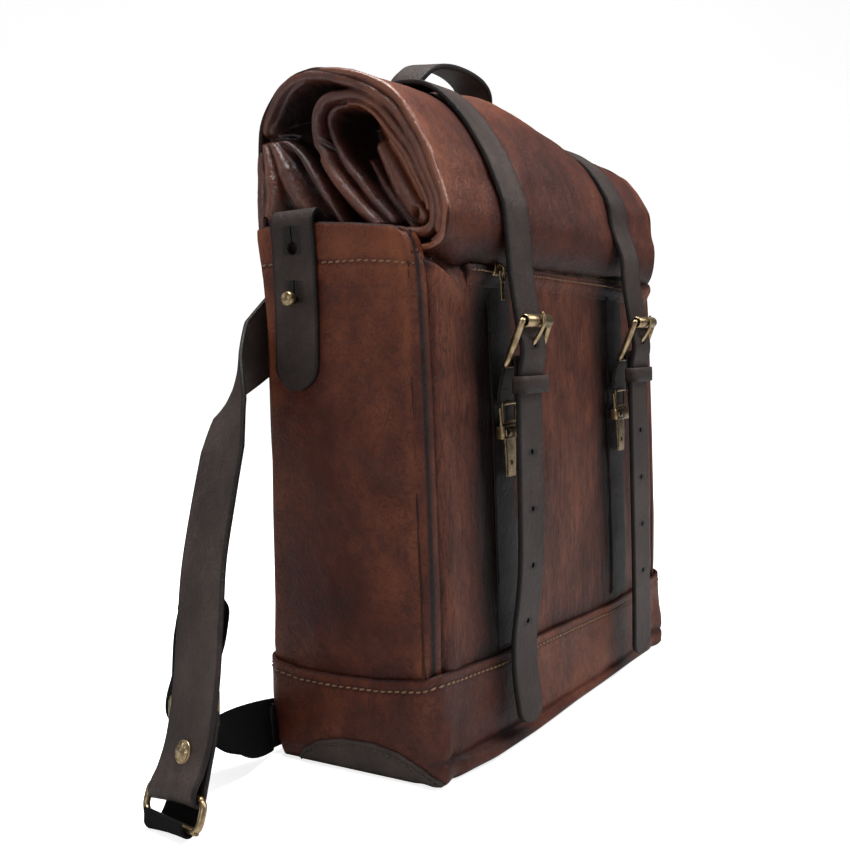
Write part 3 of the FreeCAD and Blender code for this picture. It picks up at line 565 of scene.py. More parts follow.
def brass(name, light=1.0):
    """Antique brass: polished on the high spots, brown in patches."""
    material, tree, shader = new_material(name)
    patina = textured(tree, "ShaderNodeTexNoise", 160, Detail=6.0, Roughness=0.65)
    scratch = textured(tree, "ShaderNodeTexNoise", 900, stretch=(1, 1, 0.15), Detail=3.0)
    stops = ((0.32, (0.12, 0.08, 0.042)), (0.52, (0.36, 0.265, 0.15)), (0.75, (0.56, 0.45, 0.29)))
    colour = ramp(tree, patina.outputs["Fac"],
                  [(place, tuple(light * part for part in shade)) for place, shade in stops])
    tree.links.new(colour, shader.inputs["Base Color"])
    shader.inputs["Metallic"].default_value = 1.0
    worn = maths(tree, "MULTIPLY", patina.outputs["Fac"], -0.25)
    tree.links.new(maths(tree, "ADD", worn, 0.47), shader.inputs["Roughness"])
    normal = bump_from(tree, [(scratch.outputs["Fac"], 0.15, 0.0002)])
    tree.links.new(normal, shader.inputs["Normal"])
    return material


def woven(name, colour_low, colour_high, scale, roughness=0.85):
    """Webbing or cloth: two crossed waves give the weave."""
    material, tree, shader = new_material(name)
    warp = textured(tree, "ShaderNodeTexWave", scale, wave_type="BANDS", bands_direction="DIAGONAL")
    weft = textured(tree, "ShaderNodeTexWave", scale * 1.3, wave_type="BANDS", bands_direction="Z")
    weave = maths(tree, "MULTIPLY", warp.outputs["Fac"], weft.outputs["Fac"])
    fuzz = textured(tree, "ShaderNodeTexNoise", 2200, Detail=2.0)
    shade = maths(tree, "ADD", maths(tree, "MULTIPLY", weave, 0.7),
                  maths(tree, "MULTIPLY", fuzz.outputs["Fac"], 0.3))
    tree.links.new(ramp(tree, shade, [(0.1, colour_low), (0.8, colour_high)]),
                   shader.inputs["Base Color"])
    shader.inputs["Roughness"].default_value = roughness
    shader.inputs["Specular IOR Level"].default_value = 0.12
    tree.links.new(bump_from(tree, [(shade, 0.6, 0.0006)]), shader.inputs["Normal"])
    return material


def plain(name, low, high, scale, roughness):
    """A fine-grained matte material."""
    material, tree, shader = new_material(name)
    grain = textured(tree, "ShaderNodeTexNoise", scale, Detail=5.0)
    tree.links.new(ramp(tree, grain.outputs["Fac"], [(0.3, low), (0.7, high)]),
                   shader.inputs["Base Color"])
    shader.inputs["Roughness"].default_value = roughness
    tree.links.new(bump_from(tree, [(grain.outputs["Fac"], 0.2, 0.0004)]),
                   shader.inputs["Normal"])
    return material


BODY = leather("body_leather", (0.009, 0.0025, 0.002), (0.066, 0.0145, 0.0078),
               (0.21, 0.062, 0.026), 0.46, 1.2, coat=0.04, shine=0.24)
GLOSSY = leather("glossy_leather", (0.009, 0.003, 0.0025), (0.068, 0.018, 0.0115),
                 (0.21, 0.066, 0.031), 0.34, 0.9, coat=0.22, shine=0.5)
FRONT = leather("front_leather", (0.008, 0.003, 0.0025), (0.07, 0.019, 0.0115),
                (0.21, 0.066, 0.034), 0.5, 1.9, wrinkle=(1.6, 1, 0.28), coat=0.03, shine=0.22)
DARK = leather("dark_leather", (0.009, 0.006, 0.0055), (0.034, 0.0225, 0.0195),
               (0.085, 0.061, 0.052), 0.52, 0.9, shine=0.26)
BRASS = brass("antique_brass")
# A darkened copy of the brass for the zip teeth in the roll's shadow: painted shade.
SHADED_BRASS = brass("shaded_brass", 0.35)
THREAD = plain("thread", (0.1, 0.05, 0.025), (0.28, 0.16, 0.085), 900, 0.7)
DARK_THREAD = plain("dark_thread", (0.015, 0.011, 0.01), (0.05, 0.038, 0.032), 900, 0.7)
WEBBING = woven("black_webbing", (0.0015, 0.0015, 0.0018), (0.008, 0.0072, 0.0078), 420)
LINING = woven("lining_cloth", (0.05, 0.035, 0.025), (0.1, 0.075, 0.055), 500)
FOAM = plain("foam", (0.1, 0.1, 0.1), (0.16, 0.16, 0.16), 700, 0.95)
BOARD = plain("board", (0.03, 0.025, 0.02), (0.06, 0.05, 0.04), 300, 0.8)


# ------------------------------------------------------------------ curves measured on the bag
def table_of(pairs):
    """A function that runs smoothly through (place, value) pairs."""
    pairs = sorted(pairs)

    def value(place):
        if place <= pairs[0][0]:
            return pairs[0][1]
        for (a, first), (b, second) in zip(pairs, pairs[1:]):
            if place <= b:
                share = (place - a) / (b - a)
                return first + (second - first) * share
        return pairs[-1][1]
    return value


REAR_EDGE = table_of([(0, 46), (14, 53), (35, 58), (63, 60.5), (98, 57.8), (135, 56.6),
                      (173, 55.4), (209, 54.2), (246, 53.8), (270, 54.8), (294, 56.6), (318, 60)])
FRONT_EDGE = table_of([(40, -60), (64, -59), (109, -60), (165, -59.6), (221, -59), (254, -58.5),
                       (276, -58), (298, -57), (309, -54.5), (316, -50)])
POCKET_EDGE = table_of([(-60, 314), (-54, 314), (-47, 317.5), (-20, 321), (5, 323.5), (44, 324.5),
                        (52.6, 324), (60, 322)])
HEM_LINE = table_of([(-57, 296), (-40, 298.5), (-19, 300.6), (2, 301), (47, 302.5), (57, 302.5)])
BAND_SIDE = table_of([(-62, 64), (-50, 61), (-22, 57.6), (6, 56.6), (37, 57), (60, 61)])
BAND_FRONT = table_of([(-175, 66), (-148, 63), (-100, 59.5), (-46, 59), (16, 57), (69, 55),
                       (112, 56), (175, 60)])


# ------------------------------------------------------------------ side pockets
def pocket_x(y, z):
    """How far out the pocket's leather lies."""
    share = min(1, max(-1, y / 60))
    swell = 3.2 * (1 - share ** 2) * math.sin(math.pi * min(1, max(0, (z - 60) / 270)) ** 0.8)
    mouth = 1.4 * smooth(296, 324, z) * (1 - share ** 2)
    waves = 1.3 * rough(0, y, z, 58, 3.1) + 0.55 * rough(0, y * 1.3, z * 0.7, 21, 8.2)
    dent = -2.2 * math.exp(-((y + 28) / 16) ** 2 - ((z - 172 - 0.5 * (y + 28)) / 9) ** 2)
    ridge = 1.6 * math.exp(-((y + 30) / 20) ** 2 - ((z - 188 - 0.5 * (y + 28)) / 8) ** 2)
    seam = -0.6 * bump(HEM_LINE(y), 1.1, z)
    under_band = -1.4 * (1 - smooth(60, 74, z))
    return 171.9 + swell + mouth + waves * (1 - abs(share) ** 6) + dent + ridge + seam + under_band


def pocket_rows(sign):
    """The pocket's outer face, from its rear fold round to its front fold."""
    rows = []
    for share in spread(0, 1, 111):
        line = []
        for along in spread(0, 1, 97):
            level = 55 + share * (POCKET_EDGE(60 - 120 * along) - 55)
            rear, front = REAR_EDGE(level), FRONT_EDGE(level)
            if along < 0.06:
                turn = along / 0.06
                y = rear - 4 * (1 - math.cos(math.pi / 2 * turn))
                x = mix(163, pocket_x(rear - 4, level), math.sin(math.pi / 2 * turn))
            elif along > 0.94:
                turn = (1 - along) / 0.06
                y = front + 3.2 * (1 - math.cos(math.pi / 2 * turn))
                x = mix(163.5, pocket_x(front + 3.2, level), math.sin(math.pi / 2 * turn))
            else:
                y = mix(rear - 4, front + 3.2, (along - 0.06) / 0.88)
                lip = 1.3 * bump(front + 3.6, 3.0, y)
                x = pocket_x(y, level) + lip
            line.append(Vector((sign * x, y, level)))
        rows.append(line)
    return rows


def pocket_tone(point):
    """Paler near the hem and the worn edges, darker in clouds low on the side, with painted shade in
    the groove at the front fold and behind the tab's keyhole.
    """
    y, z = point.y, point.z
    tone = 0.5 + 0.1 * smooth(285, 315, z)
    tone += 0.12 * bump(REAR_EDGE(z) - 3, 7, y) + 0.1 * bump(FRONT_EDGE(z) + 9, 4, y)
    round_corner = 1 - smooth(2.5, 4.5, y - FRONT_EDGE(z))
    # Painted shade in the groove at the pocket's front fold.
    tone -= 0.6 * bump(169.5, 1.2, abs(point.x)) * round_corner
    tone += 0.09 * rough(0, y, z, 55, 5.1) + 0.05 * rough(0, y, z * 0.7, 17, 2.2)
    # Painted shade behind the tab's keyhole, so the hole reads dark.
    tone -= 0.45 * bump(26.5, 9, y) * bump(307, 10, z)
    tone += 0.05 * bump(-10, 30, y) * smooth(100, 220, z)
    tone -= 0.1 * bump(95, 40, z) * bump(20, 30, y)
    tone -= 0.14 * bump(HEM_LINE(y), 1.2, z)
    return tone


for name, sign in SIDES:
    pocket = skin(f"pocket_{name}", pocket_rows(sign), 2.6, BODY, pocket_tone, flip=sign > 0)
    hem = []
    for share in spread(0, 1, 10):
        line = []
        for y in spread(53, -51, 61):
            z = mix(HEM_LINE(y) - 3, POCKET_EDGE(y) - 0.9, share)
            line.append(Vector((sign * (pocket_x(y, z) - 2.3), y, z)))
        hem.append(line)
    hem_strip = skin(f"pocket_hem_{name}", hem, 2.0, BODY, lambda p: 0.45, flip=sign > 0)
    pocket = join(f"side_pocket_{name}_leather", [pocket, hem_strip])
    settle(pocket, "bag", "body_leather", f"side_pocket_{name}")
    line = []
    for y in spread(55, -57, 101):
        z = HEM_LINE(y)
        line.append(Vector((sign * (pocket_x(y, z) + 0.05), y, z)))
    sewn = []
    for part, way in (("rear", 1), ("front", -1)):
        picked = [p for p in line if way * (p.y - TAB_Y) >= TAB_STITCH_GAP]
        sewn.append(stitches(f"hem_{part}_{name}", picked, [ACROSS * sign] * len(picked), THREAD))
    settle(join(f"pocket_stitches_{name}", sewn), "bag", "body_leather")


# ------------------------------------------------------------------ side gussets behind the pockets
for name, sign in SIDES:
    rows = [[Vector((sign * (159.2 + 1.2 * rough(0, y, z, 40, 5.5)), y, z))
             for y in spread(57, -57, 31)] for z in spread(58, 300, 41)]
    gusset = skin(f"side_gusset_{name}_leather", rows, 2.2, BODY, lambda p: 0.3, flip=sign > 0)
    settle(gusset, "bag", "body_leather", f"side_gusset_{name}")


# ------------------------------------------------------------------ front panel
CREASE = table_of([(95, 282), (124, 278), (137, 281), (151, 289), (166, 299), (172, 312)])


def front_y(x, z):
    """The front panel's surface: full in the middle, tucked in under the roll at its corners."""
    wide = abs(x)
    y = -60.3 - 2.2 * math.cos(math.pi / 2 * min(1, wide / 172)) * math.sin(
        math.pi * min(1, max(0, (z - 50) / 270)))
    y += 6.5 * bump(166, 5.5, wide) + 4 * smooth(166, 171.5, wide) - 1.3 * bump(151, 8, wide)
    crease = CREASE(wide)
    fold = smooth(118, 148, wide)
    over = z - crease
    if over > 0:
        y += fold * min(7, 0.75 * over)
    y -= fold * 2.6 * bump(0, 4.5, over)
    y += fold * 1.0 * bump(-15, 7, over)
    y -= 3.6 * bump(128, 24, wide) * bump(289, 9, z)
    y += 1.3 * rough(x, 0, z, 75, 1.7) + 0.7 * rough(x * 1.1, 0, z * 0.5, 30, 4.4)
    middle = 1 - smooth(60, 150, wide) * 0.5
    y += middle * 0.5 * rough(x * 1.3, 0, z * 0.28, 13, 9.3)
    y += 0.22 * rough(x * 1.4, 0, z * 0.3, 5.2, 2.6)
    y += 1.1 * bump(0, 7, wide - 108) * smooth(80, 150, z) * (1 - smooth(262, 292, z))
    y += 0.8 * (1 - smooth(58, 70, z))
    return y


def front_tone(point):
    """Painted shadow, almost black, beside and behind the straps; painted shade under the roll, in the
    corner grooves and in the folds, with a painted highlight along the folds' ridges.
    """
    x, z = point.x, point.z
    wide = abs(x)
    tone = 0.52 + 0.04 * bump(0, 50, wide)
    # Painted shadow and reflection of the straps on the panel beside and behind them.
    strap_shadow = bump(-96, 25, x) + bump(80, 25, x)
    tone -= 0.4 * strap_shadow * (0.5 + 0.5 * smooth(60, 190, z))
    # A narrower painted shadow along each strap's left edge.
    tone -= 0.3 * (bump(-103, 9, x) + bump(75, 9, x)) * smooth(60, 120, z)
    # Painted shade under the roll.
    tone -= 0.3 * smooth(290, 300, z)
    # Painted shade in the grooves at the panel's corners.
    tone -= 0.4 * bump(165, 3, wide)
    tone += 0.07 * rough(x, 0, z, 60, 6.3) + 0.05 * rough(x * 1.2, 0, z * 0.5, 16, 8.8)
    # Painted shade just above the corner folds, and a painted highlight along their ridge.
    tone -= 0.12 * bump(3.5, 2.5, z - CREASE(wide)) * smooth(124, 145, wide)
    tone += 0.14 * bump(0, 6, z - CREASE(wide)) * smooth(120, 145, wide)
    tone += 0.06 * bump(140, 18, wide)
    tone -= 0.12 * (1 - smooth(57, 75, z))
    return tone


rows = [[Vector((x, front_y(x, z), z)) for x in spread(-171.5, 171.5, 201)]
        for z in spread(54, 303, 151)]
front = skin("front_panel_leather", rows, 2.5, FRONT, front_tone, flip=False)
settle(front, "bag", "body_leather", "front_panel")


# ------------------------------------------------------------------ back panel and its padding
def back_y(x, z):
    """Padded back: three soft channels between seams."""
    wide = abs(x)
    y = 58.2 + 3.6 * math.sin(math.pi * min(1, max(0, (z - 50) / 285))) * (1 - (wide / 175) ** 4)
    y -= 1.8 * bump(58, 2.6, wide) * smooth(75, 90, z) * (1 - smooth(270, 282, z))
    y -= 4 * smooth(158, 170, wide)
    y += 0.9 * rough(x, 60, z, 60, 6.1) + 0.35 * rough(x, 60, z * 0.6, 18, 7.7)
    return y


rows = [[Vector((x, back_y(x, z), z)) for x in spread(169, -169, 121)]
        for z in spread(54, 331, 91)]
back = skin("back_panel_leather", rows, 2.5, BODY, lambda p: 0.5 - 0.1 * bump(58, 3, abs(p.x)))
settle(back, "bag", "body_leather", "back_panel")

rows = []
for share in spread(0, 1, 31):
    swell = max(0, math.sin(math.pi * share)) ** 0.25
    rows.append([Vector((x, 50.5 + 0.2 * swell, 11 + 288 * share)) for x in spread(-144, 144, 25)])
foam = skin("back_foam", rows, -5.2, FOAM, flip=False)
settle(foam, "bag", "foam", "back_padding")


# ------------------------------------------------------------------ lining sack and base board
def sack_loop(z, inset):
    """A rounded rectangle with slack walls."""
    loop = []
    half_x, half_y, corner = 151 - inset, 51.5 - inset, 14
    corners = ((1, 1, 0), (-1, 1, 90), (-1, -1, 180), (1, -1, 270))
    for sx, sy, start in corners:
        for step in range(13):
            angle = math.radians(start + 90 * step / 12)
            x = sx * (half_x - corner) + corner * math.cos(angle)
            y = sy * (half_y - corner) + corner * math.sin(angle) - 2
            slack = 1.0 * rough(x, y, z, 26, 4.0)
            loop.append(Vector((x - sx * max(0, slack), y - sy * max(0, slack), z)))
    return loop


rows = [[Vector((p.x * s, (p.y + 2) * s - 2, 7.4)) for p in sack_loop(7, 1)] for s in (0.02, 0.5, 0.97)]
rows += [sack_loop(7.4 + 294 * step / 40, 1) for step in range(1, 41)]
sack = skin("lining_sack", rows, 0.8, LINING, closed_columns=True)
settle(sack, "bag", "lining_cloth", "lining")


# ------------------------------------------------------------------ base band
BEAD = table_of([(-175, 1.5), (-157, 3), (-119, 8.5), (-65, 8), (5, 4.5), (59, 3.5), (119, 1.5),
                 (175, 1)])
FOLD_LINE = table_of([(-175, 13), (-157, 10), (-128, 8), (-77, 5.5), (-19, 3.5), (48, 4), (86, 5),
                      (122, 8), (175, 12)])


BAND_HALF_X = 173.4
BAND_HALF_Y = 62.2
BAND_CORNER = 9


def band_loop():
    """(x, y, outward x, outward y) round the band in plan."""
    corner_x, corner_y = BAND_HALF_X - BAND_CORNER, BAND_HALF_Y - BAND_CORNER
    corners = ((corner_x, -corner_y, -90, 90), (corner_x, corner_y, 0, 34),
               (-corner_x, corner_y, 90, 60), (-corner_x, -corner_y, 180, 34))
    points = []
    old_x, old_y = -corner_x, -corner_y
    for x, y, start, count in corners:
        nx, ny = round(math.cos(math.radians(start))), round(math.sin(math.radians(start)))
        for step in range(count):
            share = step / count
            points.append((mix(old_x, x, share) + BAND_CORNER * nx,
                           mix(old_y, y, share) + BAND_CORNER * ny, nx, ny))
        for step in range(8):
            angle = math.radians(start + 90 * step / 8)
            nx, ny = math.cos(angle), math.sin(angle)
            points.append((x + BAND_CORNER * nx, y + BAND_CORNER * ny, nx, ny))
        old_x, old_y = x, y
    return points


def band_top(x, y):
    """Height of the band's sewn upper edge."""
    front = BAND_FRONT(x)
    side = BAND_SIDE(y)
    on_side = smooth(160, 171, abs(x)) * (1 - smooth(54, 62, abs(y)) * 0.5)
    on_back = smooth(-10, 55, y) * (1 - smooth(150, 172, abs(x)))
    return mix(mix(front, side, on_side), 61, on_back)


def band_point(x, y, nx, ny, share):
    """A point of the band: share 0 at its sewn edge, 0.75 near the ground, 1 underneath."""
    top = band_top(x, y)
    front = max(0, -ny)
    rear = max(0, ny)
    bead = BEAD(x) * front ** 2
    fold = max(4.0, FOLD_LINE(x) * front + 7 * (1 - front))
    radius = 7 + 11 * rear
    ease = 1 + 0.35 * math.sin(math.pi * min(1, share / 0.55))
    if share < 0.62:
        z = mix(top, fold + 3, share / 0.62)
        out = 0.5 * ease - rear * 4 * smooth(0.25, 0.62, share)
        out += 0.9 * rough(x, y, z, 34, 2.2) + 0.4 * rough(x, y, z, 14, 5.9)
        out -= 0.5 * bump(top - 5.4, 1.2, z)
        out -= front * 1.6 * bump(fold + 3, 3.5, z)
    elif share < 0.86:
        turn = (share - 0.62) / 0.24
        angle = math.pi / 2 * turn
        out = bead * math.sin(math.pi * min(1, 0.15 + turn * 0.95)) ** 0.8
        out -= radius * 0.5 * (1 - math.cos(angle)) + rear * 4 + (1 - front) * 1.5 * turn
        z = (fold + 3) * (1 - math.sin(angle)) + 0.5
        out -= front * 1.2 * (1 - turn)
    else:
        turn = (share - 0.86) / 0.14
        out = -radius * 0.5 - rear * 4 - 1.5 - 22 * turn
        z = 0.5 + 0.5 * turn
    return Vector((x + nx * out, y + ny * out, max(0.3, z)))


def pinch(point):
    """The folded ears at the front-bottom corners and the tucks above them."""
    wide = abs(point.x)
    sign = 1 if point.x > 0 else -1
    near = math.exp(-((wide - 165) / 15) ** 2 - ((point.y + 58) / 15) ** 2)
    low = 1 - smooth(26, 50, point.z)
    along = (wide - 166) * 0.7 - (point.y + 60) * 0.7
    ridge = bump(4 - 0.16 * point.z, 3.6, along) - 0.9 * bump(-5 - 0.1 * point.z, 3.2, along)
    push = 3.4 * near * low * ridge
    return point + Vector((sign * 0.6, -0.8, 0)) * push


def band_tone(point):
    """Paler along the front and darker under its seam; painted shade in its folds and by the ground, a
    painted shadow under the strap tails and a painted highlight on its rounded lower edge.
    """
    wide = abs(point.x)
    on_front = smooth(50, 62, -point.y)
    tone = 0.5 + 0.1 * on_front * (1 - smooth(120, 160, wide))
    # Painted shadow of the strap tails that hang over the band.
    tone -= 0.2 * on_front * bump(90, 18, wide)
    # Painted shade in the fold.
    tone -= 0.16 * on_front * bump(FOLD_LINE(point.x) + 2, 3.5, point.z)
    # Painted shade by the ground.
    tone -= 0.2 * (1 - smooth(0, 5, point.z))
    # Painted highlight on the rounded bead low on the front.
    tone += 0.08 * bump(8, 5, point.z) * on_front
    tone -= 0.12 * bump(band_top(point.x, point.y) - 5.4, 1.3, point.z)
    return tone


outline = band_loop()
rows = [[pinch(band_point(*spot, share)) for spot in outline] for share in spread(0, 1, 61)]
band = skin("base_band_leather", rows, 2.6, BODY, band_tone, closed_columns=True, flip=True)
under = []
for shrink in spread(1, 0.02, 9):
    places = [(p.x * shrink, p.y * shrink) for p in rows[-1]]
    under.append([Vector((x, y, 0.9 + 0.5 * rough(x, y, 0, 30, 3))) for x, y in places])
floor_skin = skin("base_floor", under, -2.0, BODY, lambda p: 0.35, closed_columns=True)
band = join("base_leather", [band, floor_skin])
settle(band, "bag", "body_leather", "base_band")

line, outward = [], []
for spot in outline + outline[:1]:
    x, y, nx, ny = spot
    front = max(0, -ny)
    fold = max(4, FOLD_LINE(x) * front + 7 * (1 - front))
    share = 0.62 * 5.4 / max(1, band_top(x, y) - fold - 3)
    point = pinch(band_point(*spot, share))
    normal = Vector((nx, ny, 0))
    line.append(point + normal * 0.1)
    outward.append(normal)
settle(stitches("band_stitches", line, outward, THREAD), "bag", "body_leather")


# ------------------------------------------------------------------ rolled mouth
OUTER = [(60, 322), (62.4, 340), (63.8, 360), (62.8, 380), (60, 391), (53, 402), (42, 411),
         (27, 415.3), (10, 415), (-4, 412.8), (-18, 408), (-32, 400.5), (-42, 391.5),
         (-51, 379), (-60.5, 362), (-66, 348), (-70.5, 334), (-72.5, 322), (-69.5, 311),
         (-61, 305), (-50, 304)]
DROOP = table_of([(-66, 5), (-54, 6), (-37, 11), (-20, 13), (0, 10), (25, 5), (40, 2)])
ROLL_END = 160.2


def roll_shift(x, y, z):
    """How far up, and how far towards the front, the sagging roll's leather has moved."""
    high = smooth(325, 405, z)
    front = 1 - smooth(-40, 20, y)
    crest = 7.5 * bump(-27, 42, x) * high
    straps = -2.6 * (bump(-87, 15, x) + bump(87, 15, x)) * high
    droop = -DROOP(y) * smooth(10, 110, x) * smooth(300, 345, z)
    low = 1 - smooth(300, 325, z)
    lower_lip = -low * (8.5 * smooth(-160, -135, x) + 5.0 * smooth(0, 150, x)) * front
    sag = (1.5 * rough(x, y, z, 60, 7.7) + 0.7 * rough(x * 0.8, y, z, 24, 1.3)) * smooth(305, 330, z)
    tucked = -5 * smooth(20, 110, x) * (1 - smooth(335, 358, z)) * front
    return crest + straps + droop + lower_lip + sag, 0.9 * rough(x, y, z, 48, 3.9) * front + tucked


def wrap(profile, steps):
    """A smooth line through (y, z) places in the bag's middle plane."""
    return curve_through([Vector((0, y, z)) for y, z in profile], steps)


def outward_of(points, index):
    """The direction away from the roll at a point of its outline."""
    run = points[min(len(points) - 1, index + 1)] - points[max(0, index - 1)]
    return Vector((0, run.z, -run.y)).normalized()


def roll_rows(points, stations):
    """The outline swept along X, following the roll's sag, with wrinkles that run round it."""
    rows = []
    for x in stations:
        near_end = smooth(128, 158, abs(x))
        pressed = 0.8 * bump(156.5, 1.3, abs(x)) + 0.5 * bump(151.5, 1.6, abs(x))
        line = []
        for index, point in enumerate(points):
            lift, push = roll_shift(x, point.y, point.z)
            wrinkle = 0.5 * rough(x * 0.5, point.y, point.z, 11, 6.2)
            wrinkle += 0.9 * near_end * rough(x * 0.3, point.y, point.z, 17, 2.8)
            wrinkle += 0.35 * rough(x * 1.2, point.y * 0.4, point.z * 0.4, 7, 9.1)
            wrinkle -= pressed * smooth(-20, -45, -point.z + 350)
            moved = point + outward_of(points, index) * wrinkle
            line.append(Vector((x, moved.y - push, moved.z + lift)))
        rows.append(line)
    return rows


def roll_tone(point):
    """Painted light along its crest and paler at its ends; painted shadow beside the straps and painted
    shade under the lip.
    """
    # Painted light along the crest.
    tone = 0.47 + 0.1 * smooth(385, 418, point.z) + 0.05 * bump(-20, 60, point.x)
    # Painted shadow beside the straps.
    tone -= 0.27 * (bump(-89, 17, point.x) + bump(89, 17, point.x)) * smooth(300, 330, point.z)
    # Painted shade under the front lip.
    tone -= 0.22 * (1 - smooth(298, 318, point.z)) * (1 if point.y < -30 else 0)
    tone += 0.16 * bump(163, 12, abs(point.x)) * smooth(310, 350, point.z)
    tone += 0.07 * rough(point.x, point.y, point.z, 45, 3.3)
    return tone


OUTLINE = wrap(OUTER, 200)
stations = spread(-ROLL_END, ROLL_END, 151)
outer = skin("roll_top_leather", roll_rows(OUTLINE, stations), 3.0, BODY, roll_tone)
settle(outer, "bag", "body_leather", "roll_top")


# The roll's end is one sheet of soft leather with deep folds. Each ridge is a line across the end
# as (y, z) points with its half width, how far out it stands, how steeply its sides fall and its tone;
# the deeper ridges get darker tones as painted shade.
def inset_line(first, last, start_inset, end_inset):
    """Part of the roll's outline, moved inwards by a distance that changes along it."""
    line = []
    for k in range(first, last, 4):
        inset = mix(start_inset, end_inset, (k - first) / (last - first))
        line.append((OUTLINE[k] - outward_of(OUTLINE, k) * inset).yz)
    return line


def outline_place(y, z):
    """The index of the outline point nearest to a place."""
    return min(range(len(OUTLINE)), key=lambda k: (OUTLINE[k].yz - Vector((y, z))).length)


CREASE_AT = outline_place(62.8, 381)
TOP_AT = outline_place(27, 415)
SHOULDER_AT = outline_place(-32, 400)
LAST = len(OUTLINE) - 1
MAIN_LIP = (inset_line(CREASE_AT, TOP_AT, 3.0, 3.4) + inset_line(TOP_AT, SHOULDER_AT, 3.6, 8.2)
            + inset_line(SHOULDER_AT, LAST - 12, 8.4, 6.6))
RIDGES = [
    # the outer turn: its puffy lip, and the thin layers outside it at the front
    (MAIN_LIP, (1.8, 3.4, 3.4, 3.2, 3.2, 3.0, 2.6), (160, 162.4, 162.6, 162.6, 162.2, 161.6, 161), 4,
     0.5),
    (inset_line(TOP_AT - 6, LAST, 1.6, 1.8), (0.8, 1.8, 1.8, 1.8, 1.6), (161, 163, 163, 163, 162), 4,
     0.68),
    (inset_line(TOP_AT + 12, LAST - 4, 3.4, 4.0), (0.5, 1.1, 1.2, 1.1), (160.5, 162, 162, 161), 4,
     0.5),
    ([(57, 385), (55, 394), (48, 402), (38, 407), (24, 410)], (3, 5, 5, 3, 2),
     (157, 157, 158, 159.5, 160.5), 3, 0.36),
    # the second turn, with a layer inside it
    ([(-22, 321), (-10, 332), (2, 345), (13, 361), (18.3, 375), (18.4, 388), (14, 395), (6.5, 398),
      (-4.5, 398.4), (-14, 395.6), (-25.9, 388), (-35.2, 376.3), (-45.9, 363.5), (-52.2, 352),
      (-57, 340.5), (-60, 329), (-60, 319), (-53, 314.5), (-42, 315.5)],
     (3.6, 3.9, 3.6, 3.4, 3.2, 2.9, 2.6, 2.6, 2.7, 3.0), (160, 161.5, 161, 160.5, 160.5, 160.5), 5,
     0.5),
    ([(-31, 323), (-20, 334), (-9, 347), (1, 360), (9, 375), (11.5, 386), (6.5, 392), (-3, 393)],
     (2.6, 2.8, 2.6, 2.2, 1.4), (156, 157, 157, 157, 156), 5, 0.4),
    ([(-3, 393.6), (-11.5, 391.6), (-22, 384.5), (-31.4, 373), (-42.2, 360.5), (-48.6, 348.8),
      (-53.4, 337.5), (-56, 328)], (1.2, 1.7, 1.9, 2.0, 1.9, 1.6), (157, 159, 159.5, 159.5, 158.5), 5,
     0.6),
    ([(-10, 360), (-19, 348), (-28, 337), (-37, 327), (-43, 319)], (1.6, 2.4, 2.6, 2.0),
     (146, 150, 152, 153), 5, 0.36),
    # the inner face of the second turn, painted light (tone 0.95) as a sunlit face
    ([(-19.5, 384), (-28.4, 371), (-38.6, 357.5), (-45, 346.5), (-50.5, 335.5)],
     (2.8, 3.6, 3.6, 2.8), (148, 152, 153.5, 154), 1.5, 0.95),
    # the innermost turn
    ([(-22, 366), (-31, 351), (-37.5, 340), (-44, 330.5), (-50, 323.5)], (4.6, 5.8, 6.0, 5.8, 4.6),
     (153, 155, 156, 157, 157.5), 5, 0.5),
    # the fan of folds gathered at the rear crease
    ([(62.6, 379), (61.5, 362), (60, 344), (59.5, 322)], (1.5, 3, 4, 4.5), (160, 163, 165.5, 167),
     1.6, 0.5),
    ([(61.5, 379.5), (57, 371), (53, 356), (50.5, 342), (52, 322)], (1.4, 3.4, 5.6, 6.2, 7),
     (160, 163.5, 166.5, 168, 168), 1.3, 0.54),
    ([(60, 380), (52, 375), (43.5, 361), (36, 346), (27, 331)], (1.2, 3.4, 5.4, 6, 5),
     (159.5, 163, 166, 165.5, 160.5), 1.4, 0.54),
    ([(57, 380.5), (45, 376.5), (33.5, 369), (23, 354), (13, 339), (5, 325)],
     (0.8, 1.8, 2.4, 2.8, 2.8, 2.4), (158.5, 160, 160.5, 161, 160, 157), 5, 0.42),
]
END_FLOOR = 118


def end_outline():
    """The whole edge of the roll's end: the outline and a hidden run along its bottom."""
    bottom = [Vector((0, mix(-50, 60, step / 40), mix(304, 306, step / 40))) for step in range(1, 40)]
    return OUTLINE + bottom


def polyline_gap(places, line):
    """Each place's distance to a line, and how far along the line its nearest point is."""
    gap = np.full(len(places), 1e9)
    along = np.zeros(len(places))
    spans = len(line) - 1
    for index in range(spans):
        start, run = line[index], line[index + 1] - line[index]
        share = np.clip((places - start) @ run / (run @ run), 0, 1)
        distance = np.linalg.norm(places - start - share[:, None] * run, axis=1)
        closer = distance < gap
        gap[closer] = distance[closer]
        along[closer] = (index + share[closer]) / spans
    return gap, along


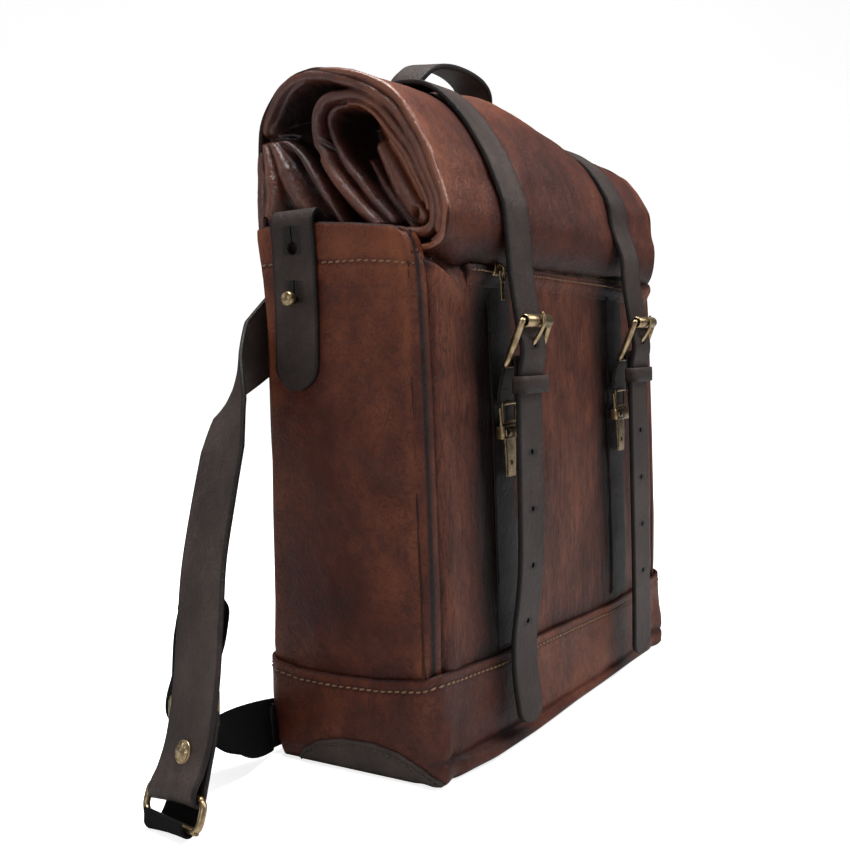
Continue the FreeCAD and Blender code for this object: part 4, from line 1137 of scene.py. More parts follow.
def end_relief(places):
    """How far out the leather stands at each (y, z) place of the roll's end, and its tone, with painted
    shade in the deep folds and a painted highlight on each ridge's crest.
    """
    out = np.full(len(places), float(END_FLOOR))
    # The floor between the ridges starts nearly black: painted shade in the deep folds.
    tone = np.full(len(places), 0.1)
    for line, widths, tops, steep, shade in RIDGES:
        path = np.array([tuple(p.yz) for p in wrap(line, 6 * len(line))])
        gap, along = polyline_gap(places, path)
        width = np.interp(along, np.linspace(0, 1, len(widths)), widths)
        top = np.interp(along, np.linspace(0, 1, len(tops)), tops)
        round_part = np.sqrt(np.clip(width ** 2 - gap ** 2, 0, None))
        height = top - width + round_part - steep * np.clip(gap - width, 0, None)
        wins = height > out
        out[wins] = height[wins]
        # Each ridge's crest is painted paler: painted highlight.
        lip = 0.1 * np.clip(1 - gap / width, 0, 1)
        # Deeper places are painted darker: painted shade in the folds.
        sunk_shade = 0.45 * np.clip((top - height - 4) / 12, 0, 1)
        tone[wins] = (shade + lip - sunk_shade)[wins]
    return out, tone


def roll_end(sign):
    """The folded end of the roll: rings that shrink from its edge towards a line inside it."""
    edge = end_outline()
    count, rings = len(edge), 105
    core_a, core_b = Vector((16, 376)), Vector((-40, 334))
    core = core_b - core_a
    places = []
    for ring in range(rings):
        share = ring / (rings - 1)
        for point in edge:
            flat = point.yz
            nearest = core_a + core * min(1, max(0, (flat - core_a).dot(core) / core.length_squared))
            places.append(flat.lerp(nearest, share))
    bent = []
    for y, z in places:
        bent.append((y + 1.1 * rough(0, y, z, 21, 3.6), z + 1.1 * rough(5, y, z, 21, 8.4)))
    out, tone = end_relief(np.array(bent))
    vertices, tones = [], []
    for index, (y, z) in enumerate(places):
        height = float(out[index])
        height += 0.45 * rough(0, y * 1.2, z, 9, 4.4) + 0.22 * rough(2, y, z * 1.4, 3.6, 1.2)
        crease = bump(380.6 - 0.03 * (62 - y), 1.7, z) * smooth(40, 47, y)
        height -= 7 * crease * (1 if height > 140 else 0)
        height -= 9 * math.exp(-((y + 46.5) / 2.2) ** 2 - ((z - 325.5) / 3.4) ** 2)
        if index < count:
            height = ROLL_END - 0.4
        lift, push = roll_shift(sign * ROLL_END, y, z)
        vertices.append(Vector((sign * height, y - push, z + lift)))
        # The rear crease is painted darker: painted shade in the fold.
        tones.append(float(tone[index]) - 0.2 * crease + 0.05 * rough(0, y, z, 14, 7.1))
    faces = grid_faces(rings, count, flip=sign < 0)
    return make_mesh(f"roll_end_{sign}", vertices, faces, GLOSSY, tones)


for name, sign in SIDES:
    end = roll_end(sign)
    end.name = f"roll_end_{name}_leather"
    settle(end, "bag", "body_leather")


# ------------------------------------------------------------------ half-moon patches
PATCH_ARC = table_of([(-62, 3), (-61.5, 3.8), (-52, 10.7), (-35, 17.6), (-17, 20.6), (4.5, 20),
                      (23.6, 15.5), (35.5, 8.5), (41, 2)])


def band_surface(spot, z):
    """The band's surface point at one place in plan and one height."""
    before = None
    for step in range(49):
        point = pinch(band_point(*spot, 0.3 + 0.6 * step / 48))
        if point.z <= z:
            if before is None:
                return point
            share = (before.z - z) / max(1e-6, before.z - point.z)
            return before.lerp(point, share)
        before = point
    return before


patches, sewn = [], []
for name, sign in SIDES:
    rows, line, outward = [], [], []
    for place in range(61):
        y = 40.5 - 101 * place / 60
        corner_x, corner_y = BAND_HALF_X - BAND_CORNER, BAND_HALF_Y - BAND_CORNER
        if y > -corner_y:
            spot = (sign * BAND_HALF_X, y, sign, 0)
        else:
            angle = math.asin(min(1, (-y - corner_y) / BAND_CORNER))
            spot = (sign * (corner_x + BAND_CORNER * math.cos(angle)),
                    -corner_y - BAND_CORNER * math.sin(angle),
                    sign * math.cos(angle), -math.sin(angle))
        normal = Vector((spot[2], spot[3], 0))
        column = []
        for step in range(13):
            z = mix(PATCH_ARC(y), 0.9, step / 12)
            column.append(band_surface(spot, z) + normal * 1.3)
        rows.append(column)
        line.append(band_surface(spot, max(1.6, PATCH_ARC(y) - 3)) + normal * 1.35)
        outward.append(normal)
    patches.append(skin(f"patch_{name}", rows, 1.4, DARK, lambda p: 0.62, flip=sign > 0))
    sewn.append(stitches(f"patch_stitches_{name}", line, outward, DARK_THREAD, pitch=4.2,
                         length=3))
settle(join("side_patches_leather", patches), "bag", "dark_leather", "side_patches")
settle(join("patch_stitches", sewn), "bag", "dark_leather")


# ------------------------------------------------------------------ front pocket's zip and welt
WELT = table_of([(-130, 297.5), (-36, 296.6), (68, 294), (130, 291)])


def ribbon_rows(x_low, x_high, count, edge, heights, out):
    """Rows along X at heights above an edge line, lying off the front panel."""
    rows = []
    for height in heights:
        places = [(x, edge(x) + height) for x in spread(x_low, x_high, count)]
        rows.append([Vector((x, front_y(x, z) - out(height), z)) for x, z in places])
    return rows


def welt_out(height):
    """How far the welt stands out from the panel at a height below the zip."""
    return 0.4 + 2.6 * smooth(-11, -4, height)


tape = skin("zip_tape_cloth", ribbon_rows(-130, 130, 90, WELT, [-3, 0, 2, 4, 6], lambda h: 1.4), 1.0,
            WEBBING)
settle(tape, "bag", "zip_cloth", "zip_tape")
# The welt takes the front panel's tones, painted shadows and shade included, and is paler along its top
# edge.
welt = skin("front_pocket_welt", ribbon_rows(-128, 128, 120, WELT, [-12, -10, -8, -6, -4, -2, -1, 0],
                                             welt_out), 2.6, FRONT,
            lambda p: front_tone(p) + 0.1 * bump(WELT(p.x), 1.6, p.z))
settle(welt, "bag", "body_leather")
line = [Vector((x, front_y(x, WELT(x) - 3) - 3.1, WELT(x) - 3)) for x in range(-126, 127, 3)]
settle(stitches("welt_stitches", line, [FORWARD] * len(line), THREAD, pitch=4.2,
                length=3.1), "bag", "body_leather")

# The zip teeth use the darkened brass: painted shade under the roll.
teeth = []
for place in range(115):
    x = -125.5 + 2.2 * place
    edge = WELT(x) + 1.6
    lean = 0.6 if place % 2 else -0.6
    y = front_y(x, edge) - 1.2
    teeth.append(rod(f"tooth_{place}", [(x, y, edge + lean - 0.9), (x, y - 0.3, edge + lean),
                                        (x, y, edge + lean + 0.9)], 0.5, SHADED_BRASS, sides=6,
                     steps=4))
settle(join("zip_teeth", teeth), "bag", "brass", "zip_chain")

slider_low, slider_high = cad("zip_slider")
SLIDER_X = (slider_low.x + slider_high.x) / 2
slider_rows = []
for step in range(9):
    turn = math.pi * (step / 8)
    z = 296 + 4.2 * math.cos(turn)
    slider_rows.append([Vector((SLIDER_X + 5 * (2 * p / 10 - 1) * (1 - 0.18 * math.cos(turn)),
                                -64.2 - 1.6 * math.sin(turn), z)) for p in range(11)])
slider = skin("slider_body", slider_rows, 1.4, BRASS, flip=True)
bridge = rod("slider_bridge", [(SLIDER_X, -65, 299), (SLIDER_X, -67.8, 297), (SLIDER_X, -68, 294),
                               (SLIDER_X, -65.2, 292)], 0.8, BRASS)
settle(join("zip_slider_metal", [slider, bridge]), "zip_slider", "brass", "zip_slider")
eye_ring = rod("pull_ring", [(SLIDER_X - 2.6, -67, 290), (SLIDER_X - 2.4, -67, 294.6),
                             (SLIDER_X, -67, 296), (SLIDER_X + 2.4, -67, 294.6),
                             (SLIDER_X + 2.6, -67, 290), (SLIDER_X, -67, 288.4)], 0.8, BRASS,
               closed=True, hint=(0, 1, 0))
blade = sweep("pull_blade", curve_through([Vector((SLIDER_X, -66.9, 289)),
                                           Vector((SLIDER_X, -66.9, 283)),
                                           Vector((SLIDER_X, -66.9, 277))], 16),
              [ACROSS] * 17, strap_section(4.6, 1.4, 0.5), BRASS,
              scale=lambda t: 0.72 + 0.28 * math.sin(math.pi * min(1, 0.15 + t * 0.85)) ** 0.5)
settle(join("zip_pull_metal", [eye_ring, blade]), "zip_pull", "brass", "zip_pull")


# ------------------------------------------------------------------ straps over the front
def guided(points, guides, steps):
    """Evenly spaced points on a smooth path and the guide direction at each."""
    points = [Vector(p) for p in points]
    guides = [Vector(g).normalized() for g in guides]
    path = curve_through(points, steps)
    lengths = running_lengths(points)
    result = []
    for index in range(len(path)):
        at, share = span_at(lengths, lengths[-1] * index / (len(path) - 1))
        result.append(guides[at].lerp(guides[at + 1], share).normalized())
    return path, result


def strap_tone(width, base=0.52):
    """Dark burnished edges on a strap whose face is even."""
    def tone(point, wide):
        edge = smooth(width / 2 - 2.2, width / 2 - 0.6, abs(wide))
        worn = 0.08 * rough(point.x, point.y, point.z, 35, 2.9)
        return base - 0.3 * edge + worn
    return tone


def strap(name, points, guides, width, thickness, steps=90, round_end=0, round_start=0,
           base=0.52):
    """A leather strap; its ends can be rounded over a length in mm."""
    path, across = guided(points, guides, steps)
    length = sum((b - a).length for a, b in zip(path, path[1:]))

    def taper(share):
        value = 1.0
        for near, amount in ((share, round_start), ((1 - share), round_end)):
            if amount and near * length < amount:
                value = min(value, math.sqrt(max(0.04, 1 - (1 - near * length / amount) ** 2)))
        return value
    return sweep(name, path, across, strap_section(width, thickness), DARK,
                 strap_tone(width, base), scale=taper)


def punch(obj, cutters):
    """Cut holes in a piece and keep the result as its mesh."""
    tidy_normals(obj)
    for index, cutter in enumerate(cutters):
        tidy_normals(cutter)
        modifier = obj.modifiers.new(f"cut_{index}", "BOOLEAN")
        modifier.object = cutter
        modifier.operation = "DIFFERENCE"
        modifier.solver = "EXACT"
    bpy.context.view_layer.update()
    shaped = obj.evaluated_get(bpy.context.evaluated_depsgraph_get())
    mesh = bpy.data.meshes.new_from_object(shaped)
    mesh.set_sharp_from_angle(angle=math.radians(32))
    obj.modifiers.clear()
    obj.data = mesh
    for cutter in cutters:
        bpy.data.objects.remove(cutter)
    return obj


def over_roll(middle, stand_off):
    """The strap's line from its foot behind the roll, over it, to the buckle."""
    points = []
    base = wrap(OUTER[1:], 40)
    for index, point in enumerate(base):
        if point.z < 326 and point.y < 0:
            break
        before, after = base[max(0, index - 1)], base[min(len(base) - 1, index + 1)]
        run = (after - before).normalized()
        normal = Vector((0, run.z, -run.y))
        lift, push = roll_shift(middle, point.y, point.z)
        gap = 2.3 + stand_off * bump(-18, 16, point.y) * smooth(370, 395, point.z)
        points.append(Vector((middle, point.y - push, point.z + lift)) + normal * gap)
    return points


TO_BUCKLE = [(-75.2, 312), (-76.2, 296), (-78, 281), (-79.9, 268), (-81.2, 259), (-83.2, 251),
             (-83.4, 244), (-81.6, 235), (-80.4, 227), (-80, 222)]
TAILS = {"left": [(-80, 230), (-80, 217.4), (-79.6, 190), (-79.2, 150), (-78.4, 118), (-76, 95),
                  (-72.6, 72), (-72.2, 50), (-74.5, 30), (-76.5, 17)],
         "right": [(-80, 230), (-80, 217.4), (-80, 170), (-80, 118), (-79.8, 66), (-79, 17)]}
HOLE_HEIGHTS = (220, 185, 150, 115, 80)

for name, sign in SIDES:
    middle = sign * STRAP_X
    points = over_roll(middle, 4.0 if sign < 0 else 1.0)
    points += [Vector((middle, y, z)) for y, z in TO_BUCKLE]
    upper = strap(f"front_strap_{name}_leather", points, [(1, 0, 0)] * len(points), 30, 3.2,
                  steps=200)
    hole = rod(f"prong_hole_{name}", [(middle, -95, 250), (middle, -70, 250)], 1.9, DARK, steps=4)
    punch(upper, [hole])
    settle(upper, "bag", "dark_leather", f"front_strap_{name}")

    points = [Vector((middle, y, z)) for y, z in TAILS[name]]
    tail = strap(f"strap_tail_{name}_leather", points, [(1, 0, 0)] * len(points), 30, 3.2,
                 steps=110, round_end=9)
    cutters = [rod(f"tail_hole_{z}_{name}", [(middle, -95, z), (middle, -60, z)], 1.7, DARK,
                   steps=4) for z in HOLE_HEIGHTS[1:]]
    punch(tail, cutters)
    settle_blend(tail, "bag", f"strap_tail_{name}", (middle, -80, 222), (middle, -80, 213),
                 "dark_leather", f"strap_tail_{name}")

    anchor_points = []
    for z in spread(300, 63, 49):
        crumple = 0.5 * rough(middle, 0, z, 9, 3.3)
        tucked = 3 * smooth(293, 299, z)
        anchor_points.append(Vector((middle, front_y(middle, z) + 0.2 + tucked + crumple, z)))
    # Painted near black (base 0.03): dark leather with the painted shade of the strap hanging over it.
    anchor = strap(f"anchor_strap_{name}_leather", anchor_points, [(1, 0, 0)] * 49, 27, 1.4,
                   base=0.03)
    settle(anchor, "bag", "dark_leather", f"anchor_strap_{name}")

    billet_points = [(-64.8, 215), (-66.4, 226), (-69.6, 236), (-71.6, 241), (-74.4, 242.6),
                     (-77, 240.6), (-77.6, 235), (-77.2, 226), (-77, 216)]
    billet = strap(f"buckle_billet_{name}_leather", [(middle, y, z) for y, z in billet_points],
                   [(1, 0, 0)] * len(billet_points), 26, 2.0, steps=60)
    settle(billet, "bag", "dark_leather", f"buckle_billet_{name}")


# ------------------------------------------------------------------ strap keepers
keepers = []
for name, sign in SIDES:
    middle = sign * STRAP_X
    loop = []
    for step in range(72):
        angle = 2 * math.pi * step / 72
        wide = math.copysign(abs(math.cos(angle)) ** 0.28, math.cos(angle)) * 16.9
        deep = math.copysign(abs(math.sin(angle)) ** 0.5, math.sin(angle)) * 4.0
        loop.append(Vector((middle + wide, -80.9 - deep * (1.15 if deep > 0 else 0.95), 226)))
    section = [(-5.2, 0.5), (-4.9, 0.85), (-1.5, 0.95), (1.5, 0.95), (4.9, 0.85), (5.2, 0.5),
               (5.2, -0.5), (4.9, -0.8), (-4.9, -0.8), (-5.2, -0.5)]
    # Each keeper's upper edge is painted lighter and its lower edge darker: painted highlight and shade
    # from the light above.
    keepers.append(sweep(f"keeper_{name}", loop, [UP] * len(loop), section, DARK,
                         lambda p, wide: 0.48 + 0.25 * smooth(4.4, 5.1, wide)
                         - 0.2 * smooth(4.4, 5.1, -wide), closed=True))
settle(join("strap_keepers_leather", keepers), "bag", "dark_leather", "strap_keepers")


# ------------------------------------------------------------------ buckles
for name, sign in SIDES:
    middle = sign * STRAP_X
    left, right = middle - 18.2, middle + 18.2
    heel = (-74, 238)
    top = (-86, 264)
    frame_points = [(left, *heel), (left + 3, *heel), (middle, *heel), (right - 3, *heel),
                    (right, *heel), (right + 0.3, -75.6, 240.5), (right + 0.5, -80.6, 251),
                    (right + 0.2, -85, 261.5), (right - 0.3, *top), (right - 3, *top),
                    (middle, *top), (left + 3, *top), (left + 0.3, *top),
                    (left - 0.2, -85, 261.5), (left - 0.5, -80.6, 251), (left - 0.3, -75.6, 240.5)]
    radii = [1.8, 1.7, 1.7, 1.7, 1.8, 2.0, 2.3, 2.2, 2.0, 1.7, 1.7, 1.7, 2.0, 2.2, 2.3, 2.0]
    frame_rod = tapered(f"buckle_frame_{name}_metal", frame_points, radii, BRASS, closed=True,
                        hint=(0, 1, 0.2), steps=150)
    settle(frame_rod, f"buckle_frame_{name}", "brass", f"buckle_frame_{name}")
    roller = tube(f"buckle_roller_{name}_metal", (middle - 16, *top), (middle + 16, *top), 4, 3.2,
                  BRASS)
    settle(roller, f"buckle_roller_{name}", "brass", f"buckle_roller_{name}")
    prong = tapered(f"prong_rod_{name}", [(middle, -75.2, 240.5), (middle, -79.5, 246),
                                          (middle, -86, 253.5), (middle, -90.2, 260),
                                          (middle, -91.4, 264.5), (middle, -90.6, 269)],
                    [1.7, 1.6, 1.4, 1.35, 1.3, 0.8], BRASS)
    eye = rod(f"prong_eye_{name}", [(middle, -74 + 2.6 * math.cos(a), 238 + 2.6 * math.sin(a))
                                    for a in (2 * math.pi * k / 10 for k in range(10))], 0.9,
              BRASS, closed=True, hint=(1, 0, 0))
    settle(join(f"buckle_prong_{name}_metal", [prong, eye]), f"buckle_prong_{name}", "brass",
           f"buckle_prong_{name}")


# ------------------------------------------------------------------ hook clasps
def rounded_loop(centre, right_vector, up_vector, half_wide, half_high, corner, steps=6):
    """Points round a rectangle with round corners."""
    points = []
    for sx, sy, start in ((1, 1, 0), (-1, 1, 90), (-1, -1, 180), (1, -1, 270)):
        for step in range(steps + 1):
            angle = math.radians(start + 90 * step / steps)
            wide = sx * (half_wide - corner) + corner * math.cos(angle)
            high = sy * (half_high - corner) + corner * math.sin(angle)
            points.append(centre + right_vector * wide + up_vector * high)
    return points


for name, sign in SIDES:
    middle = sign * STRAP_X
    front_at = front_y(middle, 197) - 3.0
    sleeve_loop = rounded_loop(Vector((middle, front_at - 2.9, 197.2)), ACROSS, BACKWARD,
                               16, 2.7, 1.6)
    section = [(-3.8, 0.4), (-3.3, 0.7), (3.3, 0.7), (3.8, 0.4), (3.8, -0.4), (3.3, -0.6),
               (-3.3, -0.6), (-3.8, -0.4)]
    pieces = [sweep(f"clasp_sleeve_{name}", sleeve_loop, [UP] * len(sleeve_loop), section, BRASS,
                    closed=True)]
    for end in (-1, 1):
        x = middle + end * 14.4
        pieces.append(rod(f"clasp_bar_{end}_{name}", [(x, front_at - 3, 197), (x, front_at - 3.2, 204),
                                                      (x, front_at - 2.6, 212)], 1.15, BRASS))
        x = middle + end * 10.5
        pieces.append(tube(f"clasp_boss_{end}_{name}", (x - 3.5, front_at - 3.0, 197.2),
                           (x + 3.5, front_at - 3.0, 197.2), 4.0, 1.0, BRASS, sides=24))
    settle(join(f"clasp_body_{name}_metal", pieces), "bag", "brass", f"clasp_body_{name}")
    loop = rounded_loop(Vector((middle, -66, 208.8)), ACROSS, UP, 8.5, 5.6, 1.4, 3)
    ring = rod(f"clasp_loop_{name}_metal", loop, 1.15, BRASS, closed=True, hint=(0, 1, 0),
               steps=100, sides=10)
    settle(ring, f"clasp_loop_{name}", "brass", f"clasp_loop_{name}")
    plate_path = [Vector((middle, front_at - 0.9 - 0.3 * math.sin(math.pi * k / 16),
                          194.5 - 25 * k / 16)) for k in range(17)]
    plate = sweep(f"clasp_plate_{name}_metal", plate_path, [ACROSS] * 17,
                  strap_section(14, 1.7, 0.5), BRASS, scale=lambda t: 1 - 0.2 * t)
    hole = rod(f"plate_hole_{name}", [(middle, -80, 178), (middle, -50, 178)], 1.6, BRASS, steps=4)
    punch(plate, [hole])
    settle(plate, "bag", "brass", f"clasp_plate_{name}")
rivets = []
for name, sign in SIDES:
    middle = sign * STRAP_X
    front_at = front_y(middle, 178) - 3.0
    rivets.append(lathe(f"rivet_{name}", (middle, front_at + 0.4, 178), (0, -1, 0),
                        [(1.45, 0), (1.45, 1.4), (1.2, 1.75), (0.6, 1.95), (0.05, 2.0)], BRASS, 20))
settle(join("clasp_rivets_metal", rivets), "bag", "brass", "clasp_rivets")


# ------------------------------------------------------------------ pocket tabs and studs
studs = []
for name, sign in SIDES:
    along_y = [(0, 1, 0)]

    def tab_x(z):
        return sign * (pocket_x(TAB_Y, z) + 2.0)

    anchor_line = [(sign * 161.8, TAB_Y, 256), (sign * 161.8, TAB_Y, 290),
                   (sign * 162, TAB_Y, 312), (sign * 163, TAB_Y, 324), (sign * 166.4, TAB_Y, 330.2),
                   (sign * 170.6, TAB_Y, 331.9)]
    anchor = strap(f"tab_anchor_{name}_leather", anchor_line, along_y * 6, 31, 2.6, steps=60)
    settle(anchor, "bag", "dark_leather", f"tab_anchor_{name}")
    heights = [316, 300, 285, 270, 255, 240, 227]
    line = [(sign * 168.6, TAB_Y, 331.4), (sign * 172, TAB_Y, 331.8),
            (sign * 175.2, TAB_Y, 329.2), (sign * 176.4, TAB_Y, 324)]
    line += [(tab_x(z), TAB_Y, z) for z in heights]
    tab = strap(f"pocket_tab_{name}_leather", line, along_y * len(line), 32, 3.0, steps=110,
                round_end=16)
    reach = (sign * 160, sign * 190)
    cutters = []
    for centre, radius, slit in ((310.5, 3.7, 12.5), (281, 2.6, 11)):
        cutters.append(rod(f"key_{centre}_{name}", [(x, TAB_Y, centre) for x in reach], radius, DARK,
                           steps=4, sides=24))
        half = slit / 2
        cutters.append(sweep(f"slit_{centre}_{name}",
                             [Vector((x, TAB_Y, centre + half)) for x in reach], [BACKWARD] * 2,
                             [(-0.45, -half), (0.45, -half), (0.45, half), (-0.45, half)], DARK))
    punch(tab, cutters)
    settle_blend(tab, "bag", f"pocket_tab_{name}", (sign * 175, TAB_Y, 332),
                 (sign * 175, TAB_Y, 323), "dark_leather", f"pocket_tab_{name}")
    studs.append(lathe(f"stud_{name}", (sign * 171.5, TAB_Y, 281), (sign, 0, 0),
                       [(3.4, 0), (3.4, 1.4), (2.1, 1.8), (2.1, 6.0), (2.6, 6.6), (3.8, 7.8),
                        (4.5, 9.4), (4.6, 10.6), (4.1, 12.2), (3.3, 13.1), (2.9, 12.9), (2.6, 13.2),
                        (1.5, 13.5), (0.05, 13.6)], BRASS, 36))
settle(join("pocket_studs_metal", studs), "bag", "brass", "pocket_studs")


# ------------------------------------------------------------------ carrying handle
HANDLE = [((-50, 66.2, 345), (1, 0, 0)), ((-50, 66.2, 358), (1, 0, 0)),
          ((-50.4, 66.2, 372), (1, 0, 0)), ((-51.4, 64.5, 386), (0.93, 0.3, 0)),
          ((-52, 57, 401), (0.7, 0.65, -0.2)), ((-51, 45, 414), (0.35, 0.85, -0.3)),
          ((-48.5, 33, 425), (0.1, 0.97, -0.15)), ((-43, 26.5, 434.5), (0, 1, 0)),
          ((-33, 24.5, 441.5), (0, 0.99, 0.1)), ((-18, 24, 445.5), (0, 0.99, 0.14)),
          ((0, 24, 446.8), (0, 0.99, 0.15))]


def handle_line():
    """The handle's line and width directions: flat at the feet, upright over the roll."""
    left_half = [(Vector(point), Vector(guide)) for point, guide in HANDLE]
    right_half = [(flip(point, 1), flip(guide, 1)) for point, guide in HANDLE[-2::-1]]
    return zip(*(left_half + right_half))


points, guides = handle_line()
path, across = guided(points, guides, 170)
handle = sweep("handle_leather", path, across, strap_section(28, 3.6), DARK, strap_tone(28, 0.5))
settle_blend(handle, "bag", "handle", (0, 66, 366), (0, 66, 379), "dark_leather", "handle_strap",
             "handle_feet")
sewn = []
for end in (-1, 1):
    box_line = rounded_loop(Vector((end * 50, 68.3, 354)), ACROSS, UP, 10.5, 7, 1.0, 2)
    sewn.append(stitches(f"handle_stitch_{end}", box_line + box_line[:1],
                         [BACKWARD] * (len(box_line) + 1), DARK_THREAD, pitch=4, length=3))
settle(join("handle_stitches", sewn), "bag", "dark_leather")


# ------------------------------------------------------------------ shoulder straps
FLAT = (-0.63, 0, 0.77)
HANG = (-0.17, -0.98, 0.1)
SEWN = [((-66, 65.6, 330.5), FLAT), ((-80, 66, 319.3), FLAT), ((-96.3, 66, 306.4), FLAT)]
STRAP = [((-96.3, 66, 306.4), FLAT), ((-130, 66.4, 279), FLAT), ((-163, 66, 254), FLAT),
         ((-186, 63, 236), (-0.5, -0.5, 0.6)), ((-201, 58.5, 218), (-0.3, -0.85, 0.3)),
         ((-212, 55.5, 195), (-0.18, -0.97, 0.12)), ((-223, 54, 166), HANG),
         ((-235, 52, 132), HANG), ((-247, 45, 102), HANG), ((-259, 38, 72), HANG),
         ((-269, 35, 46), HANG), ((-276.5, 34.4, 32), HANG), ((-281.8, 34, 26), HANG),
         ((-284, 34, 21), HANG), ((-281.6, 34, 16.9), HANG), ((-277.4, 34, 18), HANG),
         ((-274.8, 34.2, 23), HANG), ((-271, 34.8, 32), HANG), ((-264.9, 35.8, 46), HANG),
         ((-259.5, 38, 59), HANG)]
WEB = [((-291.6, 34, 12), HANG), ((-290.6, 34, 5), HANG), ((-286.5, 34, 1.8), HANG),
       ((-281.5, 34, 4), HANG), ((-273.5, 35, 13), HANG), ((-268, 37, 28), (-0.1, -1, 0.3)),
       ((-249.5, 51, 80), (-0.1, -1, 0.3)), ((-242, 55, 100), (-0.1, -1, 0.3)),
       ((-234.5, 57, 109), (-0.1, -1, 0.2)), ((-227, 58, 104), (-0.1, -1, 0.1)),
       ((-228, 60, 88), (-0.1, -1, -0.1)), ((-240, 62, 62), (-0.1, -1, -0.1)),
       ((-242, 63, 44), (0.05, -1, -0.15)), ((-232, 64, 30), (0.05, -0.95, -0.25)),
       ((-212, 64, 23), (0, -0.9, -0.45)), ((-192, 64, 20), (0, -0.5, -0.85)),
       ((-168, 64, 17.5), (0, 0, -1))]
RING_AXIS = Vector((-0.17, -0.98, 0)).normalized()
RING_TOP = Vector((-280, 34, 21))
RING_LOW = Vector((-286, 34, 6.6))


for name, sign in SIDES:
    body = f"shoulder_strap_{name}"
    upper = strap(f"strap_end_{name}", [flip(p, sign) for p, _ in SEWN],
                  [flip(g, sign) for _, g in SEWN], 40, 3.2, steps=24)
    main = strap(f"shoulder_strap_{name}_leather", [flip(p, sign) for p, _ in STRAP],
                 [flip(g, sign) for _, g in STRAP], 40, 2.9, steps=260, round_end=4)
    settle_blend(main, "bag", body, flip((-96.3, 66, 306.4), sign), flip((-112, 66, 293), sign),
                 "dark_leather", f"shoulder_strap_{name}")
    settle(upper, "bag", "dark_leather")
    path, across = guided([flip(p, sign) for p, _ in WEB], [flip(g, sign) for _, g in WEB], 220)
    webbing = sweep(f"webbing_{name}_woven", path, across, strap_section(33, 1.7, 0.5), WEBBING)
    settle_blend(webbing, body, "bag", flip((-186, 64, 18.4), sign), flip((-173, 64, 17), sign),
                 "webbing", f"webbing_{name}")

    axis = flip(RING_AXIS, sign)
    top, low = flip(RING_TOP, sign), flip(RING_LOW, sign)
    ring_up = (top - low)
    half_high = ring_up.length / 2
    ring_up.normalize()
    loop = rounded_loop((top + low) / 2, axis, ring_up, 24, half_high, 5, 4)
    ring = rod(f"strap_ring_{name}_metal", loop, 2.0, BRASS, closed=True,
               hint=tuple(axis.cross(ring_up)), steps=140, sides=14)
    settle(ring, f"strap_ring_{name}", "brass", f"strap_ring_{name}")

    outward = flip(Vector((-0.93, 0.18, 0.33)).normalized(), sign)
    centre = flip((-272.4, 34.7, 39), sign)
    concho_profile = [(2.0, -4), (2.0, 1.0), (6.4, 1.4), (6.6, 2.0), (6.0, 2.6), (5.4, 2.4),
                      (4.9, 2.7), (3.9, 3.4), (2.4, 3.9), (1.6, 3.8), (1.2, 4.1), (0.05, 4.2)]
    concho = [lathe(f"concho_disc_{name}", centre, outward, concho_profile, BRASS, 36)]
    side = outward.orthogonal().normalized()
    other = outward.cross(side)
    for k in range(8):
        angle = 2 * math.pi * k / 8
        at = centre + outward * 3.1 + (side * math.cos(angle) + other * math.sin(angle)) * 3.7
        concho.append(lathe(f"concho_bead_{k}_{name}", at, outward,
                            [(0.8, -0.6), (0.8, 0.1), (0.5, 0.5), (0.05, 0.65)], BRASS, 10))
    settle(join(f"strap_concho_{name}_metal", concho), body, "brass", f"strap_concho_{name}")

    start, finish = flip(WEB[5][0], sign), flip(WEB[6][0], sign)
    run = (finish - start).normalized()
    glide_low, glide_high = cad(f"tri_glide_{name}")
    centre = (glide_low + glide_high) / 2
    across_glide = flip(WEB[5][1], sign)
    across_glide = (across_glide - run * across_glide.dot(run)).normalized()
    glide = [rod(f"glide_loop_{name}", rounded_loop(centre, across_glide, run, 20.4, 10.6, 3, 4), 1.6,
                 BRASS, closed=True, hint=tuple(run.cross(across_glide)), steps=110, sides=10),
             rod(f"glide_bar_{name}", [centre - across_glide * 20, centre, centre + across_glide * 20],
                 1.4, BRASS, sides=10)]
    settle(join(f"tri_glide_{name}_metal", glide), f"tri_glide_{name}", "brass",
           f"tri_glide_{name}")

# The sewn upper ends, the yoke over them and the tabs at the bag's lower corners.
def yoke_y(x, z):
    """How far back the yoke lies, over the straps' sewn ends."""
    return back_y(x, z) + 3.2 * bump(80, 26, abs(x))


rows = []
for step, z in enumerate(spread(281, 330, 13)):
    half = 113 - 1.5 * bump(0, 1, step) - 1.5 * bump(12, 1, step)
    rows.append([Vector((x, yoke_y(x, z) + 2.9, z)) for x in spread(half, -half, 61)])
yoke = skin("shoulder_yoke_leather", rows, 2.6, DARK, lambda p: 0.5)
settle(yoke, "bag", "dark_leather", "shoulder_yoke", "strap_ends")
line = rounded_loop(Vector((0, 0, 305.5)), ACROSS, UP, 109, 21, 3, 3)
fine = []
for first, second in zip(line, line[1:] + line[:1]):
    for step in range(12):
        point = first.lerp(second, step / 12)
        point.y = yoke_y(point.x, point.z) + 3.05
        fine.append(point)
settle(stitches("yoke_stitches", fine, [BACKWARD] * len(fine), DARK_THREAD), "bag", "dark_leather")

tabs = []
for name, sign in SIDES:
    rows = []
    for step, z in enumerate(spread(4, 30, 9)):
        rows.append([Vector((sign * x, 65.4 - 0.4 * abs(step / 4 - 1), z))
                     for x in spread(140, 170, 13)])
    tabs.append(skin(f"webbing_anchor_{name}", rows, 2.8, DARK, lambda p: 0.5, flip=sign > 0))
settle(join("webbing_anchor_leather", tabs), "bag", "dark_leather", "webbing_anchors")

